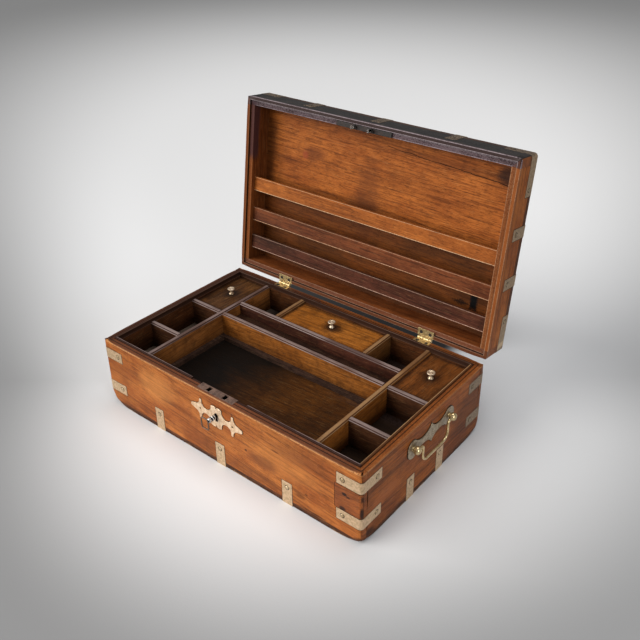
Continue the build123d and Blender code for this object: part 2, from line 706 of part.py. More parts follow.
def make_handles():
    sides = (-1, 1)
    save("handle_backplates", *[handle_side(handle_backplate(), side) for side in sides])
    pairs = [(side, y) for side in sides for y in post_places()]
    save("handle_posts", *[handle_side(handle_post(y), side) for side, y in pairs])
    save("handle_nuts", *[handle_side(handle_nut(y), side) for side, y in pairs])
    save("handle_bail_left", handle_side(bail(), -1))
    save("handle_bail_right", bail())


# Lid, drawn shut

def lid_rebate():
    """The step round the lid's rim that closes over the lip, kept off the hinge leaves."""
    outer = SHELF - REBATE_SIDE_GAP
    z = (LID_BOTTOM, LID_BOTTOM + REBATE_DEPTH)
    ring = block((-RIGHT + outer, RIGHT - outer), (-BACK + outer, BACK - outer), z)
    half = LEAF_LENGTH / 2
    for x in hinge_centres():
        ring = ring - block((x - half, x + half), (BACK - LEAF_DEPTH, BACK), z)
    return ring


def slat(low):
    """A slat of the letter rack, across the lid, by its distance from the hinge side."""
    y = (BACK - low - SLAT_HEIGHT, BACK - low)
    z = (LID_BOTTOM + SLAT_SETBACK, LID_BOTTOM + SLAT_SETBACK + SLAT_THICKNESS)
    reach = RIGHT - LID_WALL + SLAT_HOUSING
    return block((-reach, reach), y, z)


def lid_long_board(end):
    y = sorted((end * (BACK - LID_WALL), end * BACK))
    board = block((-RIGHT, RIGHT), y, (LID_BOTTOM, PANEL_BOTTOM))
    return board & prism(0, (LID_BOTTOM, PANEL_BOTTOM))


def lid_side_board(side):
    x = sorted((side * (RIGHT - LID_WALL), side * RIGHT))
    y = (-BACK + LID_WALL, BACK - LID_WALL)
    return block(x, y, (LID_BOTTOM, PANEL_BOTTOM))


def make_lid():
    corners, edges, places = lid_straps()
    holes = [screw_hole(*place) for place in places]
    fittings = corners + edges + holes
    rebate = lid_rebate()
    slats = {name: slat(low) for name, low in SLATS.items()}

    front = cut(lid_long_board(-1), [rebate, link_plate()] + fittings)
    save("lid_front_board", opened(front))

    leaf_places = leaf_screw_places(LID_BOTTOM, (0, 0, -1))
    leaf_holes = [flat_screw(*place, gap=SCREW_CLEARANCE) for place in leaf_places]
    back_tools = [rebate] + [leaf_plate(x, upper_leaf_z()) for x in hinge_centres()] + leaf_holes
    save("lid_back_board", opened(cut(lid_long_board(1), back_tools + fittings)))

    for side, name in ((-1, "left"), (1, "right")):
        tools = [rebate] + list(slats.values()) + fittings
        save(f"lid_{name}_board", opened(cut(lid_side_board(side), tools)))
    save("lid_top_panel", opened(cut(prism(0, (PANEL_BOTTOM, LID_TOP)), fittings)))

    for name, piece in slats.items():
        save(f"letter_slat_{name}", opened(piece))
    save("link_plate", opened(link_plate()))
    save("link_staples", *[opened(piece) for piece in staples()])
    save("lid_corner_straps", *[opened(cut(strap, holes)) for strap in corners])
    save("lid_edge_straps", *[opened(cut(strap, holes)) for strap in edges])
    save("lid_strap_screws", *[opened(domed_screw(*place)) for place in places])

    upper = [hinge_leaf(x, upper_leaf_z(), 1) for x in hinge_centres()]
    save("hinge_upper_leaves", *[opened(cut(leaf, leaf_holes)) for leaf in upper])
    save("hinge_upper_screws", *[opened(flat_screw(*place)) for place in leaf_places])


# Tray

def lock_notch(z):
    """The space that the lock case needs as the tray is lifted past it."""
    x = (LOCK_LEFT - NOTCH_CLEARANCE, LOCK_RIGHT + NOTCH_CLEARANCE)
    return block(x, (-TRAY_Y - OVERRUN, LOCK_Y[1] + NOTCH_CLEARANCE / 2), z)


def divider(x, y):
    """A partition on the tray's floor with a rounded top."""
    board = block(x, y, (TRAY_FLOOR, DIVIDER_TOP))
    along = Axis.X if abs(x[1] - x[0]) > abs(y[1] - y[0]) else Axis.Y
    return fillet(board.edges().filter_by(along).group_by(Axis.Z)[-1], DIVIDER_ROUND)


def lidded_bays():
    """The plan of each compartment that has a loose lid, by name."""
    side_y = (WELL_BACK[1], BAY_Y)
    middle_x = (BACK_ROW[0] + DIVIDER / 2, BACK_ROW[1] - DIVIDER / 2)
    return {
        "left": ((-BAY_X, LEFT_WALL[0]), side_y),
        "middle": (middle_x, (PEN_BACK[1], BAY_Y)),
        "right": ((RIGHT_WALL[1], BAY_X), side_y),
    }


def make_tray():
    z = (TRAY_FLOOR, TRAY_TOP)
    floor = block((-TRAY_X, TRAY_X), (-TRAY_Y, TRAY_Y), (TRAY_FLOOR_BOTTOM, TRAY_FLOOR))
    save("tray_floor", floor - lock_notch((TRAY_FLOOR_BOTTOM, TRAY_FLOOR)))

    front = block((-TRAY_X, TRAY_X), (-TRAY_Y, -BAY_Y), z) - lock_notch(z)
    low_x = (LINK_X[0] - LIP_GAP_CLEARANCE, LINK_X[1] + LIP_GAP_CLEARANCE)
    lowered = block(low_x, (-TRAY_Y, -BAY_Y), (BASE_HEIGHT - TRAY_CLEARANCE, TRAY_TOP))
    save("tray_front_side", front - lowered)
    save("tray_back_side", block((-TRAY_X, TRAY_X), (BAY_Y, TRAY_Y), z))
    for side, name in ((-1, "left"), (1, "right")):
        x = sorted((side * BAY_X, side * TRAY_X))
        save(f"tray_{name}_side", block(x, (-BAY_Y, BAY_Y), z))

    save("column_wall_left", divider(LEFT_WALL, (-BAY_Y, BAY_Y)))
    save("column_wall_right", divider(RIGHT_WALL, (-BAY_Y, BAY_Y)))
    middle_x = (LEFT_WALL[1], RIGHT_WALL[0])
    save("well_back_wall", divider(middle_x, WELL_BACK))
    save("pen_tray_wall", divider(middle_x, PEN_BACK))
    pen_top = BASE_HEIGHT - PEN_FLOOR_DEPTH
    pen_y = (WELL_BACK[1], PEN_BACK[0])
    save("pen_tray_floor", block(middle_x, pen_y, (pen_top - PEN_FLOOR_THICKNESS, pen_top)))

    bays = ((-BAY_X, LEFT_WALL[0]), (RIGHT_WALL[1], BAY_X))
    half = DIVIDER / 2
    front_y = (COLUMN_DIVIDER_Y - half, COLUMN_DIVIDER_Y + half)
    save("column_dividers", *[divider(x, y) for x in bays for y in (front_y, WELL_BACK)])
    back_y = (PEN_BACK[1], BAY_Y)
    save("back_row_dividers", *[divider((x - half, x + half), back_y) for x in BACK_ROW])

    battens = []
    for x, y in lidded_bays().values():
        batten_z = (COVER_BOTTOM - BATTEN, COVER_BOTTOM)
        battens.append(block(x, (y[0], y[0] + BATTEN), batten_z))
        battens.append(block(x, (y[1] - BATTEN, y[1]), batten_z))
    save("cover_battens", *battens)

    ledge_z = (TRAY_FLOOR, TRAY_FLOOR + LEDGE)
    long_y = ((-BAY_Y, -BAY_Y + LEDGE), (WELL_BACK[0] - LEDGE, WELL_BACK[0]))
    strips = [block(middle_x, y, ledge_z) - lock_notch(ledge_z) for y in long_y]
    side_y = (-BAY_Y + LEDGE, WELL_BACK[0] - LEDGE)
    strips.append(block((middle_x[0], middle_x[0] + LEDGE), side_y, ledge_z))
    strips.append(block((middle_x[1] - LEDGE, middle_x[1]), side_y, ledge_z))
    save("well_ledge_strips", *strips)


def knob(x, y):
    """A turned knob whose stem goes through the loose lid."""
    post = rod((x, y, COVER_TOP), (0, 0, 1), KNOB_RADIUS, KNOB_BASE)
    post = post + rod((x, y, COVER_BOTTOM), (0, 0, 1), KNOB_STEM_RADIUS, COVER_THICKNESS)
    centre = COVER_TOP + KNOB_HEIGHT - KNOB_HEAD_RADIUS
    post = post + rod((x, y, COVER_TOP), (0, 0, 1), KNOB_NECK_RADIUS, centre - COVER_TOP)
    return post + Pos(x, y, centre) * Sphere(KNOB_HEAD_RADIUS)


def make_covers():
    """The three loose lids of the tray, each with its knob in the middle."""
    for name, (x, y) in lidded_bays().items():
        cover_x = (x[0] + COVER_CLEARANCE, x[1] - COVER_CLEARANCE)
        cover_y = (y[0] + COVER_CLEARANCE, y[1] - COVER_CLEARANCE)
        cover = block(cover_x, cover_y, (COVER_BOTTOM, COVER_TOP))
        centre = (sum(cover_x) / 2, sum(cover_y) / 2)
        hole_start = (*centre, COVER_BOTTOM)
        hole = rod(hole_start, (0, 0, 1), KNOB_STEM_RADIUS + SCREW_CLEARANCE, COVER_THICKNESS)
        save(f"cover_{name}", cover - hole)
        save(f"cover_knob_{name}", knob(*centre))


os.makedirs("parts", exist_ok=True)
make_base()
make_lock()
make_handles()
make_lid()
make_tray()
make_covers()
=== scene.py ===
from math import cos, hypot, pi, radians, sin

import bmesh
import bpy
from mathutils import Matrix, Quaternion, Vector, noise


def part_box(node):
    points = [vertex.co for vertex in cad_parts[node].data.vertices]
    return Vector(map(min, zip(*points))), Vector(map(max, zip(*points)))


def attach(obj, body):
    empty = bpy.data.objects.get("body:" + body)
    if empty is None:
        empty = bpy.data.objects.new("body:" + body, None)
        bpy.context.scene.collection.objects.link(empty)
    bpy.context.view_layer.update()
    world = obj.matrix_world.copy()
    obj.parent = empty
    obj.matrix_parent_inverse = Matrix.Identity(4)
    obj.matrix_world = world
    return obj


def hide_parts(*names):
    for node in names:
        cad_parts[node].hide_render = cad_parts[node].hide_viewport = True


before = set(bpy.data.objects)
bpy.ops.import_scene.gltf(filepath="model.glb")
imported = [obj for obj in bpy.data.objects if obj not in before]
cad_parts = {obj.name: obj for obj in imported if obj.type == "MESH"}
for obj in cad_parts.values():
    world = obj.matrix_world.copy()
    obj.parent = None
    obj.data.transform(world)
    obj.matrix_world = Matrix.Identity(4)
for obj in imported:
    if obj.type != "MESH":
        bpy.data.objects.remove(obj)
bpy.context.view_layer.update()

# Studio: the camera stands where the photographer stood, in front of the right-hand corner and
# above the open chest. A pale sheet of backdrop paper lies under it, lit by large soft boxes,
# with a pool of light painted on it round the chest and a shadow painted in the lee of the lid.
scene = bpy.context.scene
scene.view_settings.view_transform = "Standard"
PICTURE, FOCAL_LENGTH, SENSOR = 640.0, 794.5, 36.0
CENTRE_ACROSS, CENTRE_DOWN, ROLL = 326.3, 292.4, -0.39


def put(name, data):
    """A new object in the scene."""
    made = bpy.data.objects.new(name, data)
    scene.collection.objects.link(made)
    return made


eye = Vector((0.7536, -0.8364, 0.8861))
aim = Vector((-0.0581, 0.1749, 0.150))
lens = bpy.data.cameras.new("camera")
lens.sensor_width = SENSOR
lens.lens = FOCAL_LENGTH * SENSOR / PICTURE
lens.shift_x = (PICTURE / 2 - CENTRE_ACROSS) / PICTURE
lens.shift_y = (CENTRE_DOWN - PICTURE / 2) / PICTURE
camera = put("camera", lens)
camera.rotation_mode = "QUATERNION"
camera.location = eye
look = (aim - eye).to_track_quat("-Z", "Y")
camera.rotation_quaternion = look @ Quaternion((0, 0, 1), radians(ROLL))
scene.camera = camera


def hue(code):
    """A colour from its usual six-figure code, made linear."""
    parts = [int(code[i:i + 2], 16) / 255 for i in (0, 2, 4)]
    return (*[c / 12.92 if c < 0.04045 else ((c + 0.055) / 1.055) ** 2.4 for c in parts], 1.0)


def add_node(tree, kind, settings=None, values=None):
    """Adds a node: its settings first, then the values or links of its sockets."""
    made = tree.nodes.new(kind)
    for key, value in (settings or {}).items():
        setattr(made, key, value)
    for key, value in (values or {}).items():
        join(tree, made.inputs[key], value)
    return made


def join(tree, socket, value):
    """Links a socket, or sets it to a value; a colour is given by its code."""
    value = getattr(value, "socket", value)
    if isinstance(value, bpy.types.NodeSocket):
        tree.links.new(value, socket)
    else:
        socket.default_value = hue(value) if socket.type == "RGBA" else value


def maths(operation, reflected=False):
    """A method of a field that adds the Math node of one operation."""
    def method(self, *others):
        values = (*others, self) if reflected else (self, *others)
        return self.finish.node("Math", {"operation": operation}, dict(enumerate(values)))
    return method


class Field:
    """A value of a material. Sums on it add the Math nodes that work them out."""

    def __init__(self, finish, socket):
        self.finish = finish
        self.socket = socket

    __add__, __radd__ = maths("ADD"), maths("ADD", reflected=True)
    __sub__, __rsub__ = maths("SUBTRACT"), maths("SUBTRACT", reflected=True)
    __mul__, __rmul__ = maths("MULTIPLY"), maths("MULTIPLY", reflected=True)
    __truediv__, __pow__, __abs__ = maths("DIVIDE"), maths("POWER"), maths("ABSOLUTE")
    least, most = maths("MINIMUM"), maths("MAXIMUM")

    def __neg__(self):
        return self * -1.0

    def rise(self, low, high):
        """0 below low and 1 above high with a soft step between, or the reverse if low > high."""
        ends = {1: min(low, high), 2: max(low, high), 3: float(low > high), 4: float(low < high)}
        settings = {"interpolation_type": "SMOOTHSTEP"}
        return self.finish.node("MapRange", settings, {0: self, **ends})


class Finish:
    """A surface finish, put together from nodes."""

    def __init__(self, name):
        self.material = bpy.data.materials.new(name)
        self.material.use_nodes = True
        self.tree = self.material.node_tree
        self.tree.nodes.clear()
        self.shader = add_node(self.tree, "ShaderNodeBsdfPrincipled")
        add_node(self.tree, "ShaderNodeOutputMaterial", None, {0: self.shader.outputs[0]})

    def node(self, kind, settings=None, values=None, output=0):
        made = add_node(self.tree, "ShaderNode" + kind, settings, values)
        return Field(self, made.outputs[output])

    def place(self):
        return self.vector("SCALE", self.node("TexCoord", output="Object"), scale=1000.0)

    def vector(self, operation, first, second=None, scale=None, output=0):
        values = {0: first}
        if second is not None:
            values[1] = second
        if scale is not None:
            values["Scale"] = scale
        return self.node("VectorMath", {"operation": operation}, values, output)

    def parts(self, vector):
        return [self.node("SeparateXYZ", None, {0: vector}, axis) for axis in range(3)]

    def point(self, x, y, z):
        return self.node("CombineXYZ", None, {0: x, 1: y, 2: z})

    def noise(self, vector, scale=1.0, detail=2.0, roughness=0.5):
        values = {"Vector": vector, "Scale": scale, "Detail": detail, "Roughness": roughness}
        return self.node("TexNoise", None, values)

    def mix(self, factor, first, second):
        settings = {"data_type": "RGBA", "blend_type": "MIX", "clamp_factor": True}
        return self.node("Mix", settings, {0: factor, 6: first, 7: second}, 2)

    def over(self, colour, *coats):
        """Lays coats over a colour in turn, each given as how much of it shows and its tone."""
        for amount, tone in coats:
            colour = self.mix(amount, colour, tone)
        return colour

    def wear(self, **sockets):
        for name, value in sockets.items():
            join(self.tree, self.shader.inputs[name.replace("_", " ")], value)
        return self.material

    def bump(self, height, depth):
        return self.node("Bump", None, {"Height": height, "Distance": depth, "Strength": 1.0})


paper = Finish("backdrop_paper")
paper_x, paper_y, _ = paper.parts(paper.place())
# Along and across the line of sight, in millimetres from the middle of the painted pool of light.
POOL_X, POOL_Y, SIGHT_X, SIGHT_Y = -60.0, 90.0, 0.626, 0.78
toward = (paper_x - POOL_X) * SIGHT_X - (paper_y - POOL_Y) * SIGHT_Y
beside = (paper_x - POOL_X) * SIGHT_Y + (paper_y - POOL_Y) * SIGHT_X
behind = (-toward).most(0.0)
to_right, to_left = beside.most(0.0), (-beside).most(0.0)
painted_pool_across = to_right / (720.0 + 0.7 * behind) + to_left / (510.0 + 0.6 * behind)
painted_pool_along = toward.most(0.0) / 580.0 + behind / 4150.0
painted_light_pool = (painted_pool_across * painted_pool_across + painted_pool_along * painted_pool_along) ** 0.5
paper_grain = paper.noise(paper.place(), scale=0.35, detail=4.0)
# A pool of light painted on the paper: palest round the chest, greyer farther out.
paper_tone = paper.mix(painted_light_pool.rise(0.5, 1.15), "f1f1f1", "929292")
# A shadow of the lid is painted on the paper behind the chest, darkest where the gap under the lid
# shows the paper.
GAP_LINE, GAP_START, GAP_END = 355.0, -335.0, 125.0
off_gap = abs(paper_y - GAP_LINE)
softness = 1.3 * off_gap + 40.0
painted_shadow_left = ((paper_x - GAP_START - 0.4 * off_gap) / softness).rise(-0.45, 0.6)
painted_shadow_right = ((GAP_END - paper_x + 0.3 * off_gap) / softness).rise(-0.6, 0.6)
painted_lid_shadow = painted_shadow_left * painted_shadow_right * paper_y.rise(60.0, 200.0) * paper_y.rise(600.0, 364.0)
painted_lid_shadow = painted_lid_shadow * (0.84 + 0.15 * off_gap.rise(190.0, 14.0))
paper_tone = paper.mix(painted_lid_shadow, paper_tone, "0d0b0a")
paper.wear(
    Base_Color=paper.mix(paper_grain * 0.03, paper_tone, "b8b8b8"),
    Roughness=0.85 + 0.1 * paper_grain,
    Normal=paper.bump(paper_grain, 0.0001),
)
sheet = bmesh.new()
bmesh.ops.create_grid(sheet, x_segments=8, y_segments=8, size=60.0)
floor_mesh = bpy.data.meshes.new("floor")
sheet.to_mesh(floor_mesh)
floor_mesh.materials.append(paper.material)
floor = put("floor", floor_mesh)
LIT_POINT = Vector((0.0, 0.0, 0.1))


def lamp(name, kind, place, power, size, warmth):
    """A light that looks at the chest, round and soft; a sun's size is its angle."""
    light = bpy.data.lights.new(name, kind)
    light.energy = power
    light.color = warmth
    if kind == "SUN":
        light.angle = size
    else:
        light.shape = "DISK"
        light.size = size
    made = put(name, light)
    made.location = place
    made.rotation_mode = "QUATERNION"
    made.rotation_quaternion = (LIT_POINT - Vector(place)).to_track_quat("-Z", "Y")


lamp("key_light", "SUN", (-2.2, -2.9, 1.8), 3.1, 0.9, (1.0, 0.98, 0.95))
lamp("top_light", "AREA", (0.1, 0.4, 3.2), 30.0, 1.8, (1.0, 1.0, 1.0))
lamp("side_light", "AREA", (2.3, -0.9, 1.0), 20.0, 1.1, (0.97, 0.98, 1.0))
world = bpy.data.worlds.new("studio")
world.use_nodes = True
sky = world.node_tree.nodes["Background"]
sky.inputs[0].default_value = hue("e4e6ea")
sky.inputs[1].default_value = 0.33
scene.world = world

# Base boards: four boards of old teak on a bottom board, the long ones running through at the
# corners. Their top edge is a flat shelf with a low lip inside it, which the lid shuts over.
# The outside is waxed orange-brown, and the bottom edges and corners are worn round and dark.
WIDTH, DEPTH, BASE_TOP = 560.0, 341.0, 134.0
RIGHT, BACK = WIDTH / 2, DEPTH / 2
HINGE = Vector((0.0, 174.3, 134.15))
LID_ANGLE = 97.7
MITRE = RIGHT - BACK
case = ((-RIGHT, -BACK, 0.0), (RIGHT, BACK, BASE_TOP))


def inset(x, y):
    """How far in from the outside of the case a place is."""
    return (RIGHT - abs(x)).least(BACK - abs(y))


def swing(point, degrees):
    """Turns a point of the lid about the hinge pin; in millimetres."""
    angle = radians(degrees)
    y, z = point[1] - HINGE.y, point[2] - HINGE.z
    turned_y, turned_z = y * cos(angle) - z * sin(angle), y * sin(angle) + z * cos(angle)
    return Vector((point[0], HINGE.y + turned_y, HINGE.z + turned_z))


def merged(node, in_lid):
    """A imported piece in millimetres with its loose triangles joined, and the lid's pieces shut."""
    bm = bmesh.new()
    bm.from_mesh(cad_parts[node].data)
    bmesh.ops.remove_doubles(bm, verts=bm.verts, dist=2e-6)
    for vert in bm.verts:
        vert.co = swing(vert.co * 1000.0, LID_ANGLE) if in_lid else vert.co * 1000.0
    return bm


def settle(made):
    """Turns what the modifiers make of a piece into its own plain mesh."""
    seen = made.evaluated_get(bpy.context.evaluated_depsgraph_get())
    mesh = bpy.data.meshes.new_from_object(seen)
    made.modifiers.clear()
    made.data = mesh


def plain(name, bm, finish, in_lid=False, bevel=None, segments=2, crease=32.0, limits=None):
    """A finished piece in metres, its arrises rounded by the bevel and kept within limits."""
    for face in bm.faces:
        face.smooth = True
    for edge in bm.edges:
        if len(edge.link_faces) != 2 or edge.calc_face_angle() > radians(crease):
            edge.smooth = False
    mesh = bpy.data.meshes.new(name)
    bm.to_mesh(mesh)
    bm.free()
    made = put(name, mesh)
    if bevel:
        rounded = made.modifiers.new("arrises", "BEVEL")
        rounded.width = bevel
        rounded.segments = segments
        rounded.limit_method = "WEIGHT"
        rounded.use_clamp_overlap = False
        rounded.harden_normals = True
        settle(made)
        bpy.data.meshes.remove(mesh)
        made.data.name = name
    if limits:
        for vert in made.data.vertices:
            vert.co = [max(limits[0][i], min(limits[1][i], vert.co[i])) for i in range(3)]
    if in_lid:
        turn = Matrix.Rotation(radians(-LID_ANGLE), 4, "X")
        centre = Matrix.Translation(HINGE)
        made.data.transform(centre @ turn @ centre.inverted())
    made.data.transform(Matrix.Scale(0.001, 4))
    made.data.materials.clear()
    made.data.materials.append(finish)
    return made


def extent(points):
    """The lowest and highest corners of the box round some points."""
    return [[pick(point[i] for point in points) for i in range(3)] for pick in (min, max)]


def belongs(piece, body, slot, node=None):
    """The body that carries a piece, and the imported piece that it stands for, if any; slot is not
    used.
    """
    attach(piece, body)
    if node:
        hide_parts(node)
    return piece


def slice_across(bm, axis, places):
    """Cuts a mesh across an axis, so that wear can bend its faces there."""
    normal = Vector((0, 0, 0))
    normal[axis] = 1.0
    for place in places:
        whole = [*bm.verts, *bm.edges, *bm.faces]
        bmesh.ops.bisect_plane(bm, geom=whole, dist=1e-4, plane_co=normal * place, plane_no=normal)


def ease_edges(bm, low, high, pockets):
    """Marks how far each edge is rounded: fully on the outer arrises, less on a pocket's mouth."""
    mark = bm.edges.layers.float.new("bevel_weight_edge")
    for edge in bm.edges:
        if len(edge.link_faces) != 2 or edge.calc_face_angle() < radians(30) or not edge.is_convex:
            continue
        outer = True
        for vert in edge.verts:
            gaps = [min(abs(vert.co[i] - low[i]), abs(vert.co[i] - high[i])) for i in range(3)]
            outer = outer and sum(gap < 0.3 for gap in gaps) >= 2
        edge[mark] = 1.0 if outer else pockets


def worked(node, name, body, slot, finish, bevel=0.8, segments=2, pockets=1.0, cuts=(),
           shape=None, box=None):
    """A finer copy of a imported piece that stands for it, with rounded and worn edges."""
    in_lid = body == "lid"
    bm = merged(node, in_lid)
    bmesh.ops.dissolve_limit(bm, angle_limit=radians(0.6), verts=bm.verts, edges=bm.edges)
    for axis, places in cuts:
        slice_across(bm, axis, places)
    low, high = box or extent([vert.co for vert in bm.verts])
    ease_edges(bm, low, high, pockets)
    if shape:
        for vert in bm.verts:
            vert.co = shape(vert.co)
    piece = plain(name, bm, finish, in_lid, bevel, segments, limits=box)
    return belongs(piece, body, slot, node)


def rounded_by_wear(corner_radii, low, high, reach=24.0, ripple=0.35):
    """How use has rounded the corners of a case and roughened its arrises.

    The radii belong to corners named by their sides: -1 for left, front and bottom."""
    middle = [(low[i] + high[i]) / 2 for i in range(3)]
    half = [(high[i] - low[i]) / 2 for i in range(3)]

    def shape(co):
        place = Vector(co)
        sides = tuple(1 if place[i] > middle[i] else -1 for i in range(3))
        corner = Vector([middle[i] + sides[i] * half[i] for i in range(3)])
        fade = 2.718 ** (-((place - corner).length / reach) ** 2)
        radius = corner_radii.get(sides, 3.0) * fade
        gaps = sorted(abs(place[i] - corner[i]) for i in range(3))
        if gaps[1] < 0.2:
            radius += ripple * (1.0 + noise.noise(place / 17.0) + noise.noise(place / 5.0))
        inner = Vector([corner[i] - sides[i] * max(radius, 0.0) for i in range(3)])
        past = [max(0.0, (place[i] - inner[i]) * sides[i]) * sides[i] for i in range(3)]
        over = Vector(past)
        if over.length > radius > 0.0:
            for i in range(3):
                if over[i]:
                    place[i] = inner[i] + over[i] * radius / over.length
        return place

    return shape


LATE_WOOD = 7 / 27  # The share of dark late wood in a board whose figure is 1.


def wood(name, box, tones, grain="xzy", shift=(0.0, 0.0), tilt=3.0, figure=0.5, dirt=(3.0, 0.75),
         bare=None, in_lid=False, mitre=None, past_mitre=None, spots=(), cracks=(), mottle=0.25,
         paint=None, shine=0.1):
    """Old waxed hardwood: streaks, fibres, pores, stains, rubbed arrises, and edges darkened by
    grime and painted shade.

    grain gives the axes along the board, across its face and through it. dirt is how wide and
    how dark the darkening along the arrises is, grime and, on the covers, painted shade; bare is
    the tone of rubbed ones, and paint adds what is special to one kind of board."""
    finish = Finish(name)
    place = finish.place()
    if in_lid:
        turned = {"Vector": place, "Center": tuple(HINGE), "Angle": radians(LID_ANGLE)}
        place = finish.node("VectorRotate", {"rotation_type": "X_AXIS"}, turned)
    x, y, z = finish.parts(place)
    axes = {"x": x, "y": y, "z": z}
    along, across, through = [axes[letter] for letter in grain]
    light, middle, dark = tones
    if mitre is not None:
        past = (abs(x) - abs(y)).rise(MITRE - 0.05, MITRE + 0.05)
        along = along + past * (y - along)
        across = across + past * (x + z - across)
        through = through * (1.0 - past)
        light, middle, dark = [finish.mix(past, *pair) for pair in zip(tones, past_mitre)]
    along, across = along + shift[0], across + shift[1]
    slope = radians(tilt)
    along, across = (
        along * cos(slope) + across * sin(slope), across * cos(slope) - along * sin(slope)
    )

    def drawn_out(length, width, detail=2.0, roughness=0.5):
        """Noise drawn out along the grain, of a given length and width in millimetres."""
        stretched = finish.point(along / length, across / width, through / width)
        return finish.noise(stretched, detail=detail, roughness=roughness)

    sway = drawn_out(210.0, 60.0)
    swirl = drawn_out(60.0, 22.0)
    fibre = drawn_out(26.0, 1.1, 4.0, 0.7)
    streak = drawn_out(110.0, 3.6, 4.0, 0.6)
    band = drawn_out(330.0, 19.0, 3.0)
    cloud = drawn_out(95.0, 42.0, 3.0, 0.6)
    pore = drawn_out(9.0, 0.8).rise(0.6, 0.68)
    speck = finish.noise(place, scale=0.55, detail=3.0)
    blotch = finish.noise(place, scale=0.05, detail=6.0, roughness=0.68)
    colour = finish.over(
        light,
        (cloud.rise(0.36, 0.66), middle),
        (band.rise(0.5, 0.72) * 0.4, dark),
        (blotch.rise(0.46, 0.66) * mottle, dark),
        (streak.rise(0.5, 0.64) * 0.55, dark),
        ((0.3 + 0.7 * cloud) * (LATE_WOOD * figure), dark),
        (fibre.rise(0.48, 0.66) * 0.6, dark),
        (fibre.rise(0.44, 0.3) * 0.3, finish.mix(0.35, light, "ffcf8c")),
        (pore * 0.5, "1c0f08"),
    )
    for centre, size, code, amount in spots:
        away = finish.vector("DIVIDE", finish.vector("SUBTRACT", place, centre), size)
        ragged = finish.vector("LENGTH", away, output=1) + (speck - 0.5) * 0.5 + (swirl - 0.5) * 0.8
        colour = finish.mix(ragged.rise(1.15, 0.45) * amount, colour, code)
    open_seam = None
    for first, second, width in cracks:
        span = Vector(second) - Vector(first)
        side = Vector((0, 0, 0))
        i, j = [k for k in range(3) if k != "xyz".index(grain[2])]
        side[i], side[j] = -span[j] / span.length, span[i] / span.length
        wobble = (finish.noise(place, scale=0.03, detail=3.0) - 0.5) * 7.0
        from_start = finish.vector("SUBTRACT", place, first)
        off = abs(finish.vector("DOT_PRODUCT", from_start, tuple(side), output=1) + wobble)
        run = finish.vector("DOT_PRODUCT", from_start, tuple(span.normalized()), output=1)
        gape = width * (0.4 + 0.6 * run.rise(0.0, span.length))
        seam = (off - gape).rise(0.5, 0.0) * run.rise(-1.0, 6.0)
        seam = seam * run.rise(span.length + 1.0, span.length - 4.0)
        colour = finish.mix(seam * 0.9, colour, "120a06")
        open_seam = seam if open_seam is None else open_seam.most(seam)
    # The second smallest distance to the faces of the box is how near the closest arris is.
    gap_x, gap_y, gap_z = [
        (value - low).least(high - value) for value, low, high in zip((x, y, z), *box)
    ]
    least = gap_x.least(gap_y).least(gap_z)
    most = gap_x.most(gap_y).most(gap_z)
    arris = gap_x + gap_y + gap_z - least - most
    # Darker near the arrises of the box: grime on worn edges, and on the covers painted shade from
    # the walls beside them.
    grime_width, grime_amount = dirt
    grime = (arris + (speck - 0.5) * grime_width * 1.6).rise(grime_width, 0.0) * grime_amount
    colour = finish.mix(grime, colour, "1d100a")
    if bare:
        rubbed = (arris - (speck - 0.35) * 3.0).rise(1.5, 0.4) * cloud.rise(0.42, 0.6)
        colour = finish.mix(rubbed * 0.8, colour, bare)
    if paint:
        colour, grime = paint(finish, (x, y, z), colour, grime, speck, cloud)
    if mitre is not None:
        line = abs(abs(x) - abs(y) - MITRE).rise(0.55, 0.2) * mitre(z)
        colour = finish.mix(line * 0.8, colour, "140b07")
    height = fibre * 0.5 - pore * 0.8 + speck * 0.5 + sway * 1.5
    if open_seam is not None:
        height = height - open_seam * 3.0
    finish.wear(
        Base_Color=colour,
        Roughness=0.43 + 0.16 * fibre + 0.16 * grime + 0.1 * (speck - 0.5),
        Specular_IOR_Level=0.1,
        Coat_Weight=(1.0 - grime) * (0.4 + 0.6 * cloud) * shine,
        Coat_Roughness=0.24,
        Normal=finish.bump(height, 0.00022),
    )
    return finish.material


FRONT_TONES = ("c37536", "a75b26", "50260c")
SIDE_TONES = ("905023", "783e1a", "381a09")
RIGHT_TONES = ("a05823", "87461c", "3c1d09")


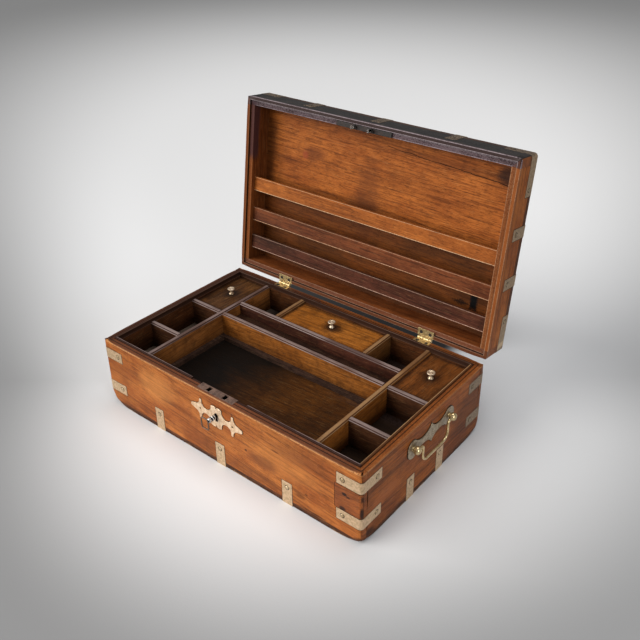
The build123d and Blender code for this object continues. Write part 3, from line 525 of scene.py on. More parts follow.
def base_outside(finish, place, colour, grime, speck, cloud):
    """Dark shelf and lip, painted highlights on the arrises, painted shade in the step and inside,
    and the blackened lower edge, bare in patches.
    """
    x, y, z = place
    inward = inset(x, y)
    up = z - BASE_TOP
    front = (-x - y).rise(-104.0, -100.0)
    worn = (speck * 0.6 + cloud * 0.4).rise(0.4, 0.6)
    dim = x.rise(-255.0, -268.0).most(y.rise(150.0, 160.0) * 0.5)
    shelf = up.rise(-0.8, -0.4)
    shelf_tone = finish.over(
        "6c3a1b",
        (front, finish.mix(up.rise(0.5, 2.0), "5a3220", "34190f")),
        (worn * 0.55, finish.mix(front, "a9632e", "7c4e36")),
        (dim * 0.6, "26160e"),
    )
    # Painted highlights along the top arris of the faces, the outer edge of the shelf and the
    # arrises of the lip, stronger where worn; painted shade in the step at the foot of the lip and
    # on the inside faces.
    top_arris_highlight = up.rise(-3.6, -1.8) * (1.0 - shelf) * (0.35 + 0.65 * speck.rise(0.35, 0.55))
    shelf_edge_highlight = abs(inward - 0.9).rise(0.9, 0.4) * shelf
    lip = abs(inward - 8.7).rise(0.9, 0.3).most(inward.rise(11.5, 12.0)) * up.rise(1.6, 2.6)
    step = abs(inward - 7.4).rise(1.1, 0.5) * up.rise(-0.6, -0.1)
    inside = inward.rise(3.0, 7.0) * (1.0 - shelf)
    low_edge = (z - (speck - 0.5) * 12.0 - (cloud - 0.5) * 18.0).rise(9.0, 0.0)
    chipped = (z - (speck - 0.4) * 9.0).rise(2.6, 0.9) * cloud.rise(0.5, 0.62)
    colour = finish.over(
        colour,
        (shelf * 0.9, shelf_tone),
        (top_arris_highlight * (0.3 + 0.35 * front), "e0a066"),
        (shelf_edge_highlight * (0.6 - 0.4 * dim), finish.mix(front, "9a6036", "9a6a48")),
        (lip * (0.45 + 0.5 * worn) * (1.0 - 0.75 * dim), finish.mix(front, "c98450", "d2bcb0")),
        (step * 0.9, "120906"),
        (inside * 0.75, "2a160d"),
        (low_edge * 0.8, "22120b"),
        (chipped * 0.7, "a98361"),
    )
    return colour, grime + low_edge * 0.3


def on_top(z):
    """Where the mitres of the base boards show: on the shelf and the lip."""
    return z.rise(BASE_TOP - 1.0, BASE_TOP - 0.5)


def on_face(axis, level, reach, *stains):
    """Stains on the flat face across an axis, each by its place, its sizes, its tone and amount."""
    spots = []
    for first, second, width, height, tone, amount in stains:
        centre, size = [first, second], [width, height]
        centre.insert(axis, level)
        size.insert(axis, reach)
        spots.append((centre, size, tone, amount))
    return spots


def closer_at_ends(half, steps):
    """Where a board is cut across for wear to bend it, closer together near its ends."""
    near = (2, 4, 7, 10, 13, 16, 20, 25, 31, 38)
    places = [side * (half - step) for side in (-1, 1) for step in near]
    return places + [step * 14.0 for step in range(-steps, steps + 1)]


worn_case = rounded_by_wear(
    {(-1, -1, -1): 21.0, (1, -1, -1): 12.0, (1, 1, -1): 12.0, (-1, 1, -1): 14.0}, *case
)
cuts_x, cuts_y = (0, closer_at_ends(RIGHT, 17)), (1, closer_at_ends(BACK, 9))
cuts_z = (2, [2, 4, 7, 12, 15, 18, 22, 27, 34, 62, 90, 120])
front_finish = wood(
    "front_teak", case, FRONT_TONES, shift=(40.0, -18.0), tilt=-6.0,
    bare="c79a70", mitre=on_top, past_mitre=RIGHT_TONES, paint=base_outside,
    spots=on_face(
        1, -BACK, 12.0,
        (-150.0, 88.0, 50.0, 34.0, "d8924e", 0.33),
        (135.0, 74.0, 80.0, 30.0, "cf8644", 0.3),
        (-250.0, 70.0, 46.0, 60.0, "8a4a20", 0.3),
        (92.0, 56.0, 34.0, 16.0, "5a2f1a", 0.55),
        (40.0, 20.0, 120.0, 14.0, "5c3019", 0.45),
        (-60.0, 28.0, 60.0, 12.0, "6b381c", 0.4),
        (150.0, 100.0, 60.0, 14.0, "7b4523", 0.35),
        (56.0, 62.0, 3.0, 2.4, "2c170d", 0.8),
        (30.0, 118.0, 2.6, 1.6, "35190c", 0.7),
        (118.0, 92.0, 9.0, 2.0, "4a2410", 0.6),
        (166.0, 30.0, 12.0, 5.0, "4a2410", 0.6),
        (178.0, 40.0, 4.0, 2.0, "2c170d", 0.7),
        (190.0, 11.0, 34.0, 1.6, "1c0f09", 0.8),
        (-205.0, 96.0, 16.0, 2.2, "5c3019", 0.5),
        (-120.0, 70.0, 26.0, 2.6, "5c3019", 0.5),
    ) + on_face(1, -BACK, 16.0, (276.0, 6.0, 13.0, 9.0, "1e100a", 0.75)),
)
patch_finish = wood(
    "patch_teak", ((231.0, -BACK, 51.5), (RIGHT, 5.0 - BACK, 97.5)), ("ab5f2c", "934d20", "4f270f"),
    shift=(300.0, 30.0), tilt=5.0, dirt=(1.6, 0.9), shine=0.25,
    spots=on_face(
        1, -BACK, 9.0,
        (249.0, 84.0, 5.0, 3.2, "170c08", 0.95),
        (256.0, 81.0, 4.0, 2.0, "170c08", 0.8),
        (246.0, 55.0, 8.0, 4.5, "1c0f09", 0.9),
        (279.0, 62.0, 3.0, 14.0, "1c0f09", 0.9),
        (279.0, 88.0, 2.0, 8.0, "1c0f09", 0.8),
    ),
)
back_finish = wood(
    "back_teak", case, SIDE_TONES, shift=(900.0, 45.0), tilt=2.0,
    bare="a47a58", mitre=on_top, past_mitre=SIDE_TONES, paint=base_outside,
)
left_finish = wood(
    "left_teak", case, SIDE_TONES, grain="yzx", shift=(400.0, 21.0), tilt=2.0,
    bare="a47a58", paint=base_outside,
)
right_finish = wood(
    "right_teak", case, RIGHT_TONES, grain="yzx", shift=(-260.0, 12.0),
    tilt=-2.5, bare="a8734c", paint=base_outside,
    spots=[
        *on_face(0, RIGHT, 9.0, (120.0, 60.0, 60.0, 50.0, "3d2014", 0.5)),
        *on_face(0, RIGHT, 9.0, (-110.0, 60.0, 40.0, 16.0, "a05c33", 0.4)),
        *on_face(0, RIGHT, 12.0, (-158.0, 9.0, 22.0, 15.0, "1e100a", 0.85)),
        *on_face(0, RIGHT, 9.0, (-166.0, 30.0, 5.0, 22.0, "2a160d", 0.6)),
    ],
)
bottom_finish = wood(
    "bottom_teak", case, ("6d3f24", "5a321c", "331a0d"), grain="xyz", tilt=1.0,
    paint=base_outside, shine=0.08,
)
for side, slot, finish, cuts in (
    ("front", "front_wood", front_finish, [cuts_x, cuts_z]),
    ("back", "side_wood", back_finish, [cuts_x, cuts_z]),
    ("left", "side_wood", left_finish, [cuts_y, cuts_z]),
    ("right", "side_wood", right_finish, [cuts_y, cuts_z]),
):
    worked(f"base_{side}_board", f"{side}_board", "chest", slot, finish, bevel=0.9, pockets=0.3,
           cuts=cuts, shape=worn_case, box=case)
worked("base_bottom_board", "bottom_board", "chest", "side_wood", bottom_finish, bevel=0.9,
       pockets=0.2, cuts=[cuts_x, cuts_y, (2, [2, 4, 6.5])], shape=worn_case, box=case)
worked("front_patch", "let_in_patch", "chest", "front_wood", patch_finish, bevel=0.35, pockets=0.3)

# Tray bearers: two plain square strips of dark wood glued to the inside of the end boards, on
# which the lift-out tray rests.
bearer_box = ((-267.2, -157.7, 62.0), (267.2, 157.7, 73.0))
bearer_finish = wood(
    "bearer_wood", bearer_box, ("4a2a18", "3c2113", "22120a"), grain="yzx", shine=0.05
)
worked("tray_bearers", "bearers", "chest", "dark_wood", bearer_finish, bevel=0.7)

# Lid boards: a frame of four boards with a thick top panel, standing open on its back edge. The
# rim has a step that shuts over the lip, and its inner edges are dark and rubbed.
LID_BOTTOM, LID_RISE, PANEL = 134.3, 45.5, 11.0
PANEL_FACE = LID_BOTTOM + LID_RISE
LID_TOP = PANEL_FACE + PANEL
lid_box = ((-RIGHT, -BACK, LID_BOTTOM), (RIGHT, BACK, LID_TOP))
worn_lid = rounded_by_wear(
    {(-1, -1, 1): 9.0, (1, -1, 1): 7.0, (1, 1, 1): 12.0, (-1, 1, 1): 12.0}, *lid_box,
    reach=18.0, ripple=0.3,
)
lid_z = [LID_TOP - step for step in (2, 4, 7, 10, 14, 19, 25)]


def on_rim(z):
    """Where the mitres of the lid boards show: on the rim."""
    return z.rise(LID_BOTTOM + 3.6, LID_BOTTOM + 3.4)


def rim_paint(inner, outer, polished, glint="c8a684"):
    """The lid's rim, with painted shade along its step, painted highlights on its rubbed arrises,
    and a stain on the left.
    """
    def paint(finish, place, colour, grime, speck, cloud):
        x, y, z = place
        inward = inset(x, y)
        up = z - LID_BOTTOM
        rim = up.rise(4.5, 3.2)
        polish = (speck * 0.6 + cloud * 0.4).rise(0.42, 0.58)
        strip = finish.mix(polish * 0.55, inner, polished)
        # Painted highlights on the rim's arrises, brighter where the polish is rubbed; painted shade
        # in the step of the rebate.
        arrises = sum(abs(inward - edge).rise(0.8, 0.3) for edge in (0.7, 6.6, 8.6, 15.9))
        step = abs(inward - 7.6).rise(0.8, 0.3)
        stain = (y - (cloud - 0.5) * 30.0).rise(-44.0, -62.0)
        stain = stain * (up + (cloud - 0.5) * 9.0).rise(22.0, 15.0)
        stain = stain * (x + (speck - 0.5) * 2.0).rise(-255.0, -262.0) * inward.rise(7.8, 9.0)
        return finish.over(
            colour,
            (rim * 0.75, finish.mix(inward.rise(7.4, 7.8), outer, strip)),
            (arrises * rim * (0.25 + 0.45 * polish), finish.mix(0.45, polished, glint)),
            (step * rim * 0.85, "150b08"),
            (stain * 0.8, "3c262b"),
        ), grime
    return paint


LID_SIDE_TONES = ("94552c", "7d4524", "46240f")
lid_front_finish = wood(
    "lid_front_teak", lid_box, ("2e2a28", "1f1c1a", "0e0c0b"), shift=(120.0, 60.0), in_lid=True,
    mitre=on_rim, past_mitre=LID_SIDE_TONES, bare="7a6c66", shine=0.2,
    paint=rim_paint("352224", "3a2826", "8b767c", "c6bcc0"),
)
lid_back_finish = wood(
    "lid_back_teak", lid_box, ("8c4c24", "763d1a", "43200c"), shift=(700.0, -40.0), in_lid=True,
    mitre=on_rim, past_mitre=LID_SIDE_TONES, paint=rim_paint("5e3522", "56311f", "7e584a"),
    bare="8a6650",
)
lid_left_finish = wood(
    "lid_left_teak", lid_box, ("7a411c", "673413", "3a1c0a"), grain="yzx", shift=(300.0, 15.0),
    in_lid=True, paint=rim_paint("7a3f18", "703b18", "8a5226", "a8703c"), bare="9a683c",
)
lid_right_finish = wood(
    "lid_right_teak", lid_box, ("b0662c", "965020", "50280e"), grain="yzx", shift=(-150.0, 70.0),
    in_lid=True, paint=rim_paint("603016", "80451f", "96643f"), bare="b07a48",
)


def panel_outside(finish, place, colour, grime, speck, cloud):
    """The panel is orange only inside the lid; its edges and outer face are almost black.

    Behind the letter rack, dust and painted shade darken it, with a blot of ink and a smear beside
    it."""
    x, y, z = place
    down = LID_TOP - z
    # Dust and painted shade darken the panel behind the letter rack.
    behind_rack_dust_and_shade = y.rise(-24.0, 20.0) * down.rise(8.0, 10.0) * (0.7 + 0.3 * cloud.rise(0.6, 0.4))
    blot = (abs(x - 219.0) / 8.0).most(abs(y - 99.0) / 17.0) + (speck - 0.5) * 1.2
    smear = abs(x - 195.0) / 22.0 + abs(y - 106.0) / 7.0 + (speck - 0.5) * 2.4
    outer = inset(x, y).rise(15.0, 6.0).most(down.rise(6.0, 3.0))
    skin = finish.mix(y.rise(-146.0, -158.0), finish.mix(speck, "2a1a12", "4a2c1c"), "262625")
    return finish.over(
        colour,
        (behind_rack_dust_and_shade * 0.78, "2d180c"),
        (blot.rise(1.1, 0.6).most(smear.rise(1.1, 0.4) * 0.85), "0c0b0b"),
        (outer * 0.85, skin),
    ), grime


panel_finish = wood(
    "lid_panel_teak", lid_box, ("b4662a", "9d5420", "50250c"), grain="xyz",
    shift=(60.0, 30.0), tilt=1.5, figure=0.14, mottle=0.3, in_lid=True,
    paint=panel_outside,
    spots=on_face(
        2, PANEL_FACE, 8.0,
        (-20.0, -20.0, 30.0, 90.0, "5a2d17", 0.45),
        (-30.0, 0.0, 46.0, 34.0, "4c2815", 0.5),
        (-150.0, -80.0, 30.0, 16.0, "5f2f18", 0.6),
        (-168.0, -74.0, 9.0, 10.0, "96412a", 0.5),
        (-263.0, -60.0, 26.0, 110.0, "3a1f12", 0.6),
        (246.0, -128.0, 26.0, 22.0, "2c1912", 0.85),
        (0.0, 150.0, 260.0, 14.0, "4a2816", 0.5),
        (0.0, -150.0, 260.0, 9.0, "4a2816", 0.6),
    ),
    cracks=[((10.0, -128.0, PANEL_FACE), (264.0, -111.0, PANEL_FACE), 0.35)],
)
for side, finish, runs in (
    ("front", lid_front_finish, cuts_x),
    ("back", lid_back_finish, cuts_x),
    ("left", lid_left_finish, cuts_y),
    ("right", lid_right_finish, cuts_y),
):
    worked(f"lid_{side}_board", f"lid_{side}_board_fine", "lid", "side_wood", finish, bevel=0.9,
           pockets=0.35, cuts=[runs, (2, lid_z)], shape=worn_lid, box=lid_box)
worked("lid_top_panel", "lid_panel_fine", "lid", "panel_wood", panel_finish, bevel=0.9, pockets=0.3,
       cuts=[cuts_x, cuts_y, (2, lid_z[:4])], shape=worn_lid, box=lid_box)

# Letter rack: three thin slats housed in the lid's side boards, for letters to stand behind. The
# front one has been replaced in a lighter wood, and the other two are dark and rubbed.
for level, tones, highlight in (
    ("top", ("ba6b2d", "a05823", "5a2b0f"), "f0c89c"),
    ("middle", ("7f4526", "64331b", "2a140a"), "e8b890"),
    ("low", ("5c3223", "462518", "1e0f08"), "dcb49c"),
):
    bm = merged(f"letter_slat_{level}", in_lid=True)
    slat_box = extent([vert.co for vert in bm.verts])
    bm.free()

    def slat_paint(finish, place, colour, grime, speck, cloud, box=slat_box, tone=highlight):
        _, y, z = place
        # Painted highlights along the lower and upper arrises of the slat's face, broken up by
        # specks.
        face = z.rise(box[0][2] + 1.2, box[0][2] + 0.2)
        lower = (box[1][1] - y).rise(1.9, 1.1)
        upper = (y - box[0][1]).rise(1.5, 0.7)
        rubbed = (lower + 0.4 * upper) * face * (0.5 + 0.5 * speck.rise(0.4, 0.6))
        return finish.mix(rubbed * 0.85, colour, tone), grime

    slat_finish = wood(
        f"slat_{level}_teak", slat_box, tones, grain="xyz",
        shift=(len(level) * 130.0, 20.0), tilt=1.2, dirt=(1.2, 0.3), in_lid=True,
        paint=slat_paint, shine=0.16,
    )
    worked(f"letter_slat_{level}", f"slat_{level}", "lid", "slat_wood", slat_finish, bevel=0.9,
           cuts=[(0, [step * 20.0 for step in range(-13, 14)])])

# Lift-out tray: thin sides on a flat floor, divided by thick partitions with rounded tops that
# hands have rubbed, with greyish highlights painted along them. Low down, the walls are darker
# with painted shade.
TRAY_RIGHT, TRAY_BACK, TRAY_BOTTOM, TRAY_TOP = 266.7, 157.2, 73.0, 136.4
tray_box = ((-TRAY_RIGHT, -TRAY_BACK, TRAY_BOTTOM), (TRAY_RIGHT, TRAY_BACK, TRAY_TOP))
DIVIDER_TOP, SIDE_THICKNESS = 130.0, 4.0


def divider_paint(crown, line):
    """Painted highlights on the rubbed arrises along a dark crown, and painted shade on the walls,
    darker towards the floor.
    """
    def paint(finish, place, colour, grime, speck, cloud):
        x, y, z = place
        up = z - DIVIDER_TOP
        flank = up.rise(-3.1, -2.6) * up.rise(-1.5, -2.0)
        crest = up.rise(-0.35, -0.1) * up.rise(0.4, 0.1)
        rim = (TRAY_RIGHT - abs(x)).least(TRAY_BACK - abs(y))
        rim_highlight = rim.rise(SIDE_THICKNESS - 1.6, SIDE_THICKNESS - 0.9)
        rim_highlight = rim_highlight * z.rise(TRAY_TOP - 0.5, TRAY_TOP - 0.2)
        # Painted highlights on the crown's flanks and crest and on the rim of the tray sides, patchy
        # where the polish is rubbed.
        rubbed = flank.most(crest * 0.6).most(rim_highlight) * (0.35 + 0.65 * cloud.rise(0.36, 0.6))
        # Painted shade, darker towards the floor.
        shade = (z + (cloud - 0.5) * 26.0).rise(112.0, 80.0)
        colour = finish.over(
            colour,
            (up.rise(-3.6, -2.8) * 0.9, crown),
            (rubbed * 0.8, line),
            (shade * 0.48, "1a110b"),
        )
        return colour, grime + shade * 0.2
    return paint


# Each with the tone of its dark crown and of the highlights painted along it.
grey_highlight_line = divider_paint("34201a", "a8928c")
pale_line = divider_paint("3a211a", "b5a19a")
gold_line = divider_paint("50301a", "bd9568")
dim_line = divider_paint("2a1912", "664a3a")


def tray_wood(name, tones, grain, shift=(0.0, 0.0), paint=grey_highlight_line, shine=0.12):
    """The finish of one kind of piece of the tray."""
    return wood(name, tray_box, tones, grain=grain, shift=shift,
                dirt=(1.4, 0.5), mottle=0.45, paint=paint, shine=shine)


def floor_paint(finish, place, colour, grime, speck, cloud):
    """The floor: brown on the right of the well, black with old ink and painted shadow on the left,
    and dark in the bays.
    """
    x, y, _ = place
    # Black on the left of the well: old ink and the painted shadow of the walls.
    ink_and_shadow = (x - 0.4 * y + (cloud - 0.5) * 170.0 + (speck - 0.5) * 30.0).rise(70.0, -80.0)
    bays = abs(x + 3.0).rise(176.0, 184.0).most(y.rise(22.0, 30.0))
    worn = (y - (cloud - 0.5) * 30.0).rise(-2.0, 10.0) * x.rise(40.0, 160.0)
    return finish.over(
        colour,
        (ink_and_shadow * 0.96, "0b0907"),
        (bays * 0.85, finish.mix(x.rise(-150.0, -200.0), "1a120d", "6a5a4e")),
        (worn * speck.rise(0.35, 0.6) * 0.4, "4a3a38"),
    ), grime


golden = ("aa682b", "90541f", "46240c")
brown = ("5e351b", "4a2913", "261308")
ledge_tones = ("4a352b", "382720", "1c120e")
flat, crowned, sharp = (0.7, 1.0), (0.6, 0.0), (None, 1.0)
for node, slot, (bevel, pockets), name, *looks in (
    ("tray_floor", "floor_wood", flat, "tray_floor_wood", ("5f360f", "4b290b", "241306"), "xyz",
     (50.0, 0.0), floor_paint, 0.06),
    ("tray_front_side", "dark_wood", flat, "tray_front_wood", brown, "xzy", (20.0, 0.0)),
    ("tray_back_side", "dark_wood", flat, "tray_back_wood", brown, "xzy", (420.0, 0.0), dim_line),
    ("tray_left_side", "dark_wood", flat, "tray_left_wood", brown, "yzx", (120.0, 0.0), dim_line),
    ("tray_right_side", "dark_wood", flat, "tray_right_wood", ("7c4a28", "65391d", "341c0e"), "yzx",
     (720.0, 0.0), gold_line),
    ("column_wall_left", "dark_wood", crowned, "left_wall_wood", ("9c6230", "7e4c20", "422410"),
     "yzx", (220.0, 0.0)),
    ("column_wall_right", "dark_wood", crowned, "right_wall_wood", golden, "yzx", (520.0, 0.0),
     gold_line),
    ("well_back_wall", "dark_wood", crowned, "well_wall_wood", golden, "xzy", (-70.0, 8.0),
     pale_line),
    ("pen_tray_wall", "dark_wood", crowned, "pen_wall_wood", ("552f22", "44251b", "22110c"), "xzy",
     (-270.0, 8.0), pale_line),
    ("pen_tray_floor", "floor_wood", flat, "pen_floor_wood", ("3c2216", "301a11", "1a0e08"), "xyz",
     (600.0, 8.0)),
    ("column_dividers", "dark_wood", crowned, "column_divider_wood",
     ("563420", "452817", "24130a"), "xzy", (80.0, 12.0), pale_line),
    ("back_row_dividers", "dark_wood", crowned, "back_divider_wood",
     ("7c4f28", "65401d", "38200f"), "yzx", (180.0, 12.0), gold_line),
    ("cover_battens", "dark_wood", flat, "batten_wood", brown, "xyz"),
    ("well_ledge_strips", "ledge_wood", sharp, "ledge_wood_finish", ledge_tones, "xyz", (9.0, 0.0),
     None, 0.1),
):
    worked(node, node + "_fine", "tray", slot, tray_wood(name, *looks), bevel=bevel,
           pockets=pockets)

# Compartment covers: three loose boards with turned brass knobs, each a small foot under a broad
# dished cap. Polish and grime have gathered round each knob, and the edges of each board are
# darkened by grime and by painted shade from the walls beside them.
def turned(name, profile, base, axis, finish, steps=40):
    """A piece turned on a lathe: pairs of radius and height, in millimetres up the axis."""
    bm = bmesh.new()
    turn = Vector((0, 0, 1)).rotation_difference(Vector(axis))
    rows = []
    for radius, height in profile:
        if radius == 0.0:
            rows.append([bm.verts.new(turn @ Vector((0, 0, height)) + Vector(base))])
            continue
        angles = [2 * pi * k / steps for k in range(steps)]
        ring = [Vector((radius * cos(angle), radius * sin(angle), height)) for angle in angles]
        rows.append([bm.verts.new(turn @ point + Vector(base)) for point in ring])
    for lower, upper in zip(rows, rows[1:]):
        for k in range(steps):
            n = (k + 1) % steps
            corners = [lower[k % len(lower)], lower[n % len(lower)]]
            corners += [upper[n % len(upper)], upper[k % len(upper)]]
            bm.faces.new(list(dict.fromkeys(corners)))
    bmesh.ops.recalc_face_normals(bm, faces=bm.faces)
    return plain(name, bm, finish, crease=50.0)


def brass(name, tones, tarnish, metal, rough, scale=0.16, soot=None):
    """Old brass: a dull yellow skin, brown tarnish in clouds and specks, and fine scratches.

    soot says, from a place's coordinates, where the brass is nearly black: tarnish on the straps and
    round the keyhole, and painted shade inside the lock."""
    finish = Finish(name)
    place = finish.place()
    x, y, z = finish.parts(place)
    cloud = finish.noise(place, scale=scale, detail=4.0, roughness=0.62)
    speck = finish.noise(place, scale=1.3, detail=3.0, roughness=0.6)
    hairs = finish.noise(finish.point((x + y + z) / 9.0, (x - y) / 0.5, (z - x) / 0.5), detail=2.0)
    pale, deep, brown_skin = tones
    skin = (cloud * 0.5 + speck * 0.5).rise(0.5, 0.64) * tarnish
    colour = finish.over(
        pale,
        (cloud.rise(0.35, 0.65), deep),
        (skin, brown_skin),
        (speck.rise(0.62, 0.7) * tarnish * 0.8, "2a1d12"),
    )
    if soot:
        skin = skin.most(soot(x, y, z) * (0.75 + 0.25 * speck.rise(0.6, 0.45)))
        colour = finish.mix(soot(x, y, z) * speck.rise(0.68, 0.5), colour, "2b2019")
    finish.wear(
        Base_Color=colour,
        Metallic=(metal - 0.5 * skin).most(0.0),
        Roughness=rough + 0.22 * skin + 0.1 * (hairs - 0.5),
        Normal=finish.bump(hairs * 0.5 + speck * 1.2 + cloud, 0.00009),
    )
    return finish.material


knob_brass = brass("knob_brass", ("dcc8b0", "b8a080", "6e5236"), tarnish=0.5, metal=0.6, rough=0.3)
KNOB_SQUAT = 0.88
knob_profile = [
    (0.0, 0.0), (4.8, 0.0), (5.0, 0.5), (4.9, 1.2), (4.3, 2.0), (3.4, 3.0), (2.7, 4.2), (2.4, 5.8),
    (2.5, 7.2), (3.1, 8.4), (4.3, 9.4), (5.6, 10.2), (6.6, 11.0), (7.0, 11.9), (6.9, 12.7),
    (6.4, 13.3), (5.7, 13.5), (5.0, 13.3), (4.2, 12.6), (3.2, 12.1), (2.2, 12.1), (1.5, 12.5),
    (0.8, 12.8), (0.0, 12.9),
]
knob_profile = [(radius, height * KNOB_SQUAT) for radius, height in knob_profile]
COVER_TOP = 125.0
# A shadow of the middle knob, painted on its cover behind it and to the right.
middle_knob_shadow = on_face(2, COVER_TOP, 6.0, (8.0, 115.0, 26.0, 12.0, "2a180d", 0.7))
for side, tones, grain, stains in (
    ("left", ("66401f", "4f2f14", "271507"), "yxz", ()),
    ("middle", ("b26c27", "98591c", "4a280c"), "xyz", middle_knob_shadow),
    ("right", ("7c461c", "623512", "2e1807"), "yxz", ()),
):
    low, high = [corner * 1000.0 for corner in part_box(f"cover_{side}")]
    centre = (low + high) / 2

    def cover_paint(finish, place, colour, grime, speck, cloud, centre=centre):
        x, y, _ = place
        off = ((x - centre.x) * (x - centre.x) + (y - centre.y) * (y - centre.y)) ** 0.5
        ring = (off + (speck - 0.5) * 16.0 + (cloud - 0.5) * 30.0).rise(25.0, 5.0)
        return finish.mix(ring * 0.8, colour, "1a0e08"), grime

    # The wide darkening at the edges of each cover is grime and painted shade from the walls round
    # it.
    cover_finish = wood(
        f"cover_{side}_wood", (low, high), tones, grain=grain,
        shift=(centre.x * 3.0, 30.0), tilt=4.0, dirt=(9.0, 0.8), paint=cover_paint,
        spots=stains, mottle=0.5, shine=0.14,
    )
    worked(f"cover_{side}", f"cover_{side}_fine", f"{side}_cover", "cover_wood", cover_finish,
           pockets=0.0)
    foot = (centre.x, centre.y, COVER_TOP)
    knob = turned(f"knob_{side}", knob_profile, foot, (0, 0, 1), knob_brass)
    belongs(knob, f"{side}_cover", "handle_brass", f"cover_knob_{side}")

# Brass straps: strips of rolled brass let into the wood, eight round the corners of the base, ten
# under its lower edge, and the same over the lid. Dirt has gathered in the joint round each one.
def dull_places(x, y, z):
    """The dullest straps: along the top of the open lid, and at the back of the right end."""
    base_back = y.rise(100.0, 120.0) * z.rise(142.0, 138.0) * 0.75
    lid_side = z.rise(148.0, 152.0) * 0.55
    return z.rise(463.0, 470.0).most(x.rise(265.0, 272.0) * base_back.most(lid_side))


strap_finish = brass(
    "strap_brass_skin", ("cfb08c", "b49873", "775f44"), tarnish=0.3, metal=0.35, rough=0.42,
    scale=0.25, soot=dull_places,
)
dirt_finish = wood("strap_dirt", case, ("2a1910", "22130c", "120a06"), shine=0.02)


UPRIGHT_RADIUS, GRIME_WIDTH, GRIME_PROUD = 6.0, 0.8, 0.08


def onto_case(co, low, high, proud):
    """Draws a point in to just proud of a case with round upright corners."""
    place = Vector(co)
    half = ((high[0] - low[0]) / 2, (high[1] - low[1]) / 2)
    radius = UPRIGHT_RADIUS
    core = [max(-(half[i] - radius), min(half[i] - radius, place[i])) for i in range(2)]
    out = hypot(place[0] - core[0], place[1] - core[1])
    if out > radius + proud:
        for i in range(2):
            place[i] = core[i] + (place[i] - core[i]) * (radius + proud) / out
    top = high[2] + (proud if high[2] > BASE_TOP else 0.0)
    place[2] = max(low[2], min(top, place[2]))
    return place


def grime_joint(node, name, body, box):
    """The dirt in the joint round a fitting, as a thin skin that reaches just past its outline."""
    bm = merged(node, body == "lid")
    bmesh.ops.dissolve_limit(bm, angle_limit=radians(0.6), verts=bm.verts, edges=bm.edges)
    bm.normal_update()
    outward = [vert.co + vert.normal * vert.calc_shell_factor() * GRIME_WIDTH for vert in bm.verts]
    for vert, spread in zip(bm.verts, outward):
        vert.co = onto_case(spread, *box, GRIME_PROUD)
    belongs(plain(name + "_dirt", bm, dirt_finish, body == "lid"), body, "dark_wood")


for node, name, body, box in (
    ("base_corner_straps", "corner_straps", "chest", case),
    ("base_edge_straps", "edge_straps", "chest", case),
    ("lid_corner_straps", "lid_corner_straps_fine", "lid", lid_box),
    ("lid_edge_straps", "lid_edge_straps_fine", "lid", lid_box),
):
    worked(node, name, body, "strap_brass", strap_finish, bevel=0.3)
    grime_joint(node, name, body, box)

# Screws: domed brass heads with a single slot, each turned its own way, that hold the straps.
screw_finish = brass(
    "screw_brass_skin", ("d6c09c", "b59b74", "5c4730"), tarnish=0.4, metal=0.6, rough=0.3,
    soot=dull_places,
)


def pattern_of(name, rings, finish):
    """A head one metre in radius and one high, turned from rings given in metres."""
    profile = [(radius * 1000.0, height * 1000.0) for radius, height in rings]
    return turned(name, profile, (0, 0, 0), (0, 0, 1), finish, steps=20)


def block(size, middle):
    """A plain block, by its sizes and its middle."""
    bm = bmesh.new()
    bmesh.ops.create_cube(bm, size=1.0)
    bmesh.ops.scale(bm, vec=size, verts=bm.verts)
    bmesh.ops.translate(bm, vec=middle, verts=bm.verts)
    return bm


def slotted_head():
    """A screw's domed head, with its slot cut across it."""
    dome = [(0.0, -0.35), (1.0, -0.35), (1.0, 0.0), (0.93, 0.34), (0.75, 0.66), (0.5, 0.87)]
    head = pattern_of("screw_pattern", dome + [(0.24, 0.97), (0.0, 1.0)], screw_finish)
    bm = block(size=(2.4, 0.24, 1.2), middle=(0, 0, 1.05))
    cutter_mesh = bpy.data.meshes.new("slot_cutter")
    bm.to_mesh(cutter_mesh)
    bm.free()
    cutter = put("slot_cutter", cutter_mesh)
    sawn = head.modifiers.new("slot", "BOOLEAN")
    sawn.operation = "DIFFERENCE"
    sawn.object = cutter
    settle(head)
    bpy.data.objects.remove(cutter)
    return head


